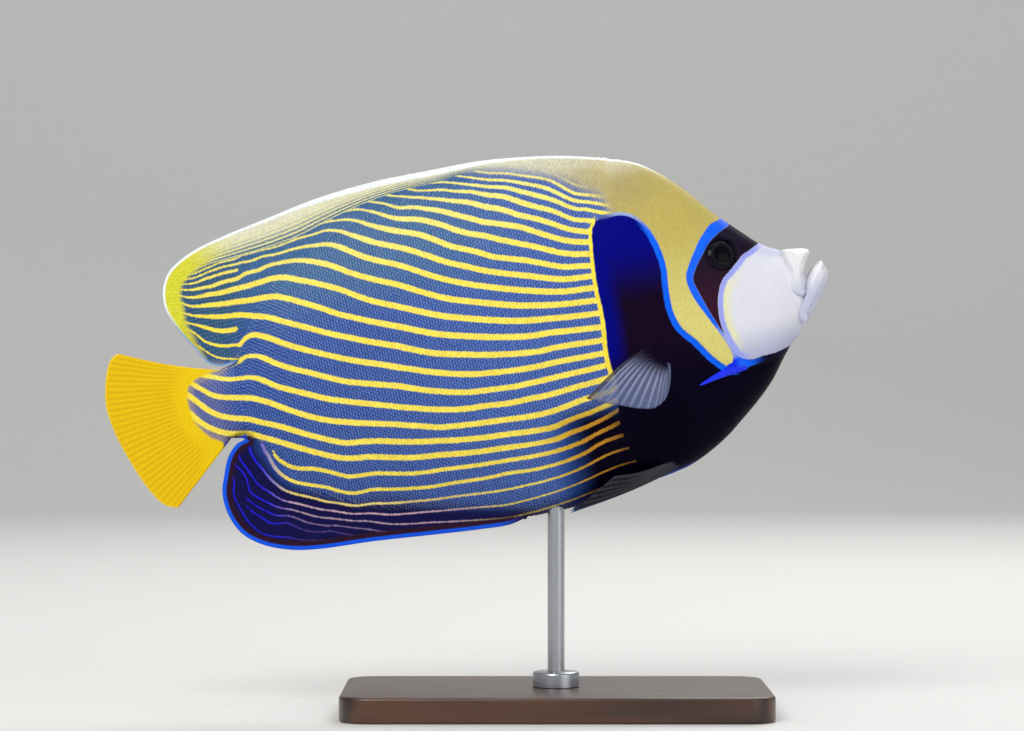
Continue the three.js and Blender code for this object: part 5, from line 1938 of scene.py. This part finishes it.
class AngelfishSizes(bpy.types.PropertyGroup):
    """Sizes of the model's finer parts"""

    scale_spacing: bpy.props.FloatProperty(
        name="Scale spacing", description="Distance between scales, as a share of the usual one", default=1,
        min=0.8,
    )
    scale_lift: bpy.props.FloatProperty(
        name="Scale lift", description="How far a flank scale's free edge stands up", default=0.00012,
        unit="LENGTH",
    )
    base_corner: bpy.props.FloatProperty(
        name="Base corner", description="Radius of the base's corners", default=0.014, unit="LENGTH"
    )
    base_rim: bpy.props.FloatProperty(
        name="Base rim", description="Radius of the base's and the collar's edges", default=0.0015,
        unit="LENGTH",
    )


class Builder:
    """What every build step shares: it runs on the scene's settings."""

    bl_options = {"REGISTER", "UNDO"}

    def execute(self, context):
        colours = context.scene.angelfish_colours.as_table()
        self.build(colours, context.scene.angelfish_sizes)
        return {"FINISHED"}


def shared_skin(colours):
    """The painted skin material, made once."""
    made = bpy.data.materials.get("painted_skin")
    return made or skin_material(colours, shared_grain())


def shared_grain():
    """The skin grain node group, made once."""
    return bpy.data.node_groups.get("Skin Grain") or skin_grain_group()


class ANGELFISH_OT_skin(Builder, bpy.types.Operator):
    """Build the body and its unpaired fins as one skin"""

    bl_idname = "angelfish.skin"
    bl_label = "Skin"

    def build(self, colours, sizes):
        build_skin(shared_skin(colours))


class ANGELFISH_OT_scales(Builder, bpy.types.Operator):
    """Cover the skin with scales"""

    bl_idname = "angelfish.scales"
    bl_label = "Scales"

    def build(self, colours, sizes):
        build_scales(shared_skin(colours), sizes)


class ANGELFISH_OT_lips(Builder, bpy.types.Operator):
    """Build the upper and the lower lip"""

    bl_idname = "angelfish.lips"
    bl_label = "Lips"

    def build(self, colours, sizes):
        build_lips(lip_material(colours, shared_grain()))


class ANGELFISH_OT_eyes(Builder, bpy.types.Operator):
    """Build both eyes and the nostril rims"""

    bl_idname = "angelfish.eyes"
    bl_label = "Eyes and nostrils"

    def build(self, colours, sizes):
        build_eyes(eye_material(colours))
        build_nostrils(shared_skin(colours))


class ANGELFISH_OT_cheek_spines(Builder, bpy.types.Operator):
    """Build the spine on each gill cover"""

    bl_idname = "angelfish.cheek_spines"
    bl_label = "Cheek spines"

    def build(self, colours, sizes):
        build_cheek_spines(cheek_spine_material(colours))


class ANGELFISH_OT_paired_fins(Builder, bpy.types.Operator):
    """Build the pectoral and the pelvic fins"""

    bl_idname = "angelfish.paired_fins"
    bl_label = "Paired fins"

    def build(self, colours, sizes):
        pale = colours["pectoral_ray"]
        dark = colours["pectoral_root"]
        build_pectoral_fins(fin_material("pectoral_fin", colours["pectoral"], pale, dark, dark, 0.5))
        inner = colours["pelvic"]
        build_pelvic_fins(fin_material("pelvic_fin", inner, inner, colours["pelvic_edge"], inner, 0))


class ANGELFISH_OT_stand(Builder, bpy.types.Operator):
    """Build the wooden base, the steel rod and its collar"""

    bl_idname = "angelfish.stand"
    bl_label = "Stand"

    def build(self, colours, sizes):
        build_stand(colours, sizes)


class ANGELFISH_OT_stage(Builder, bpy.types.Operator):
    """Build the floor, the lights and the camera"""

    bl_idname = "angelfish.stage"
    bl_label = "Stage"

    def build(self, colours, sizes):
        build_stage(colours)


OPERATORS = [
    ANGELFISH_OT_skin, ANGELFISH_OT_scales, ANGELFISH_OT_lips, ANGELFISH_OT_eyes, ANGELFISH_OT_cheek_spines,
    ANGELFISH_OT_paired_fins, ANGELFISH_OT_stand, ANGELFISH_OT_stage,
]


class ANGELFISH_PT_build(bpy.types.Panel):
    """Lists the build steps and the settings they use"""

    bl_idname = "ANGELFISH_PT_build"
    bl_label = "Emperor Angelfish"
    bl_space_type = "VIEW_3D"
    bl_region_type = "UI"
    bl_category = "Angelfish"

    def draw(self, context):
        for step in OPERATORS:
            self.layout.operator(step.bl_idname)
        for settings in (context.scene.angelfish_sizes, context.scene.angelfish_colours):
            box = self.layout.box()
            for key in settings.bl_rna.properties.keys():
                if key not in ("rna_type", "name"):
                    box.prop(settings, key)


CLASSES = [AngelfishColours, AngelfishSizes, *OPERATORS, ANGELFISH_PT_build]


def register():
    for cls in CLASSES:
        bpy.utils.register_class(cls)
    bpy.types.Scene.angelfish_colours = bpy.props.PointerProperty(type=AngelfishColours)
    bpy.types.Scene.angelfish_sizes = bpy.props.PointerProperty(type=AngelfishSizes)


def unregister():
    del bpy.types.Scene.angelfish_sizes
    del bpy.types.Scene.angelfish_colours
    for cls in reversed(CLASSES):
        bpy.utils.unregister_class(cls)


def main():
    register()
    for step in OPERATORS:
        group, name = step.bl_idname.split(".")
        getattr(getattr(bpy.ops, group), name)()


if __name__ == "__main__":
    main()
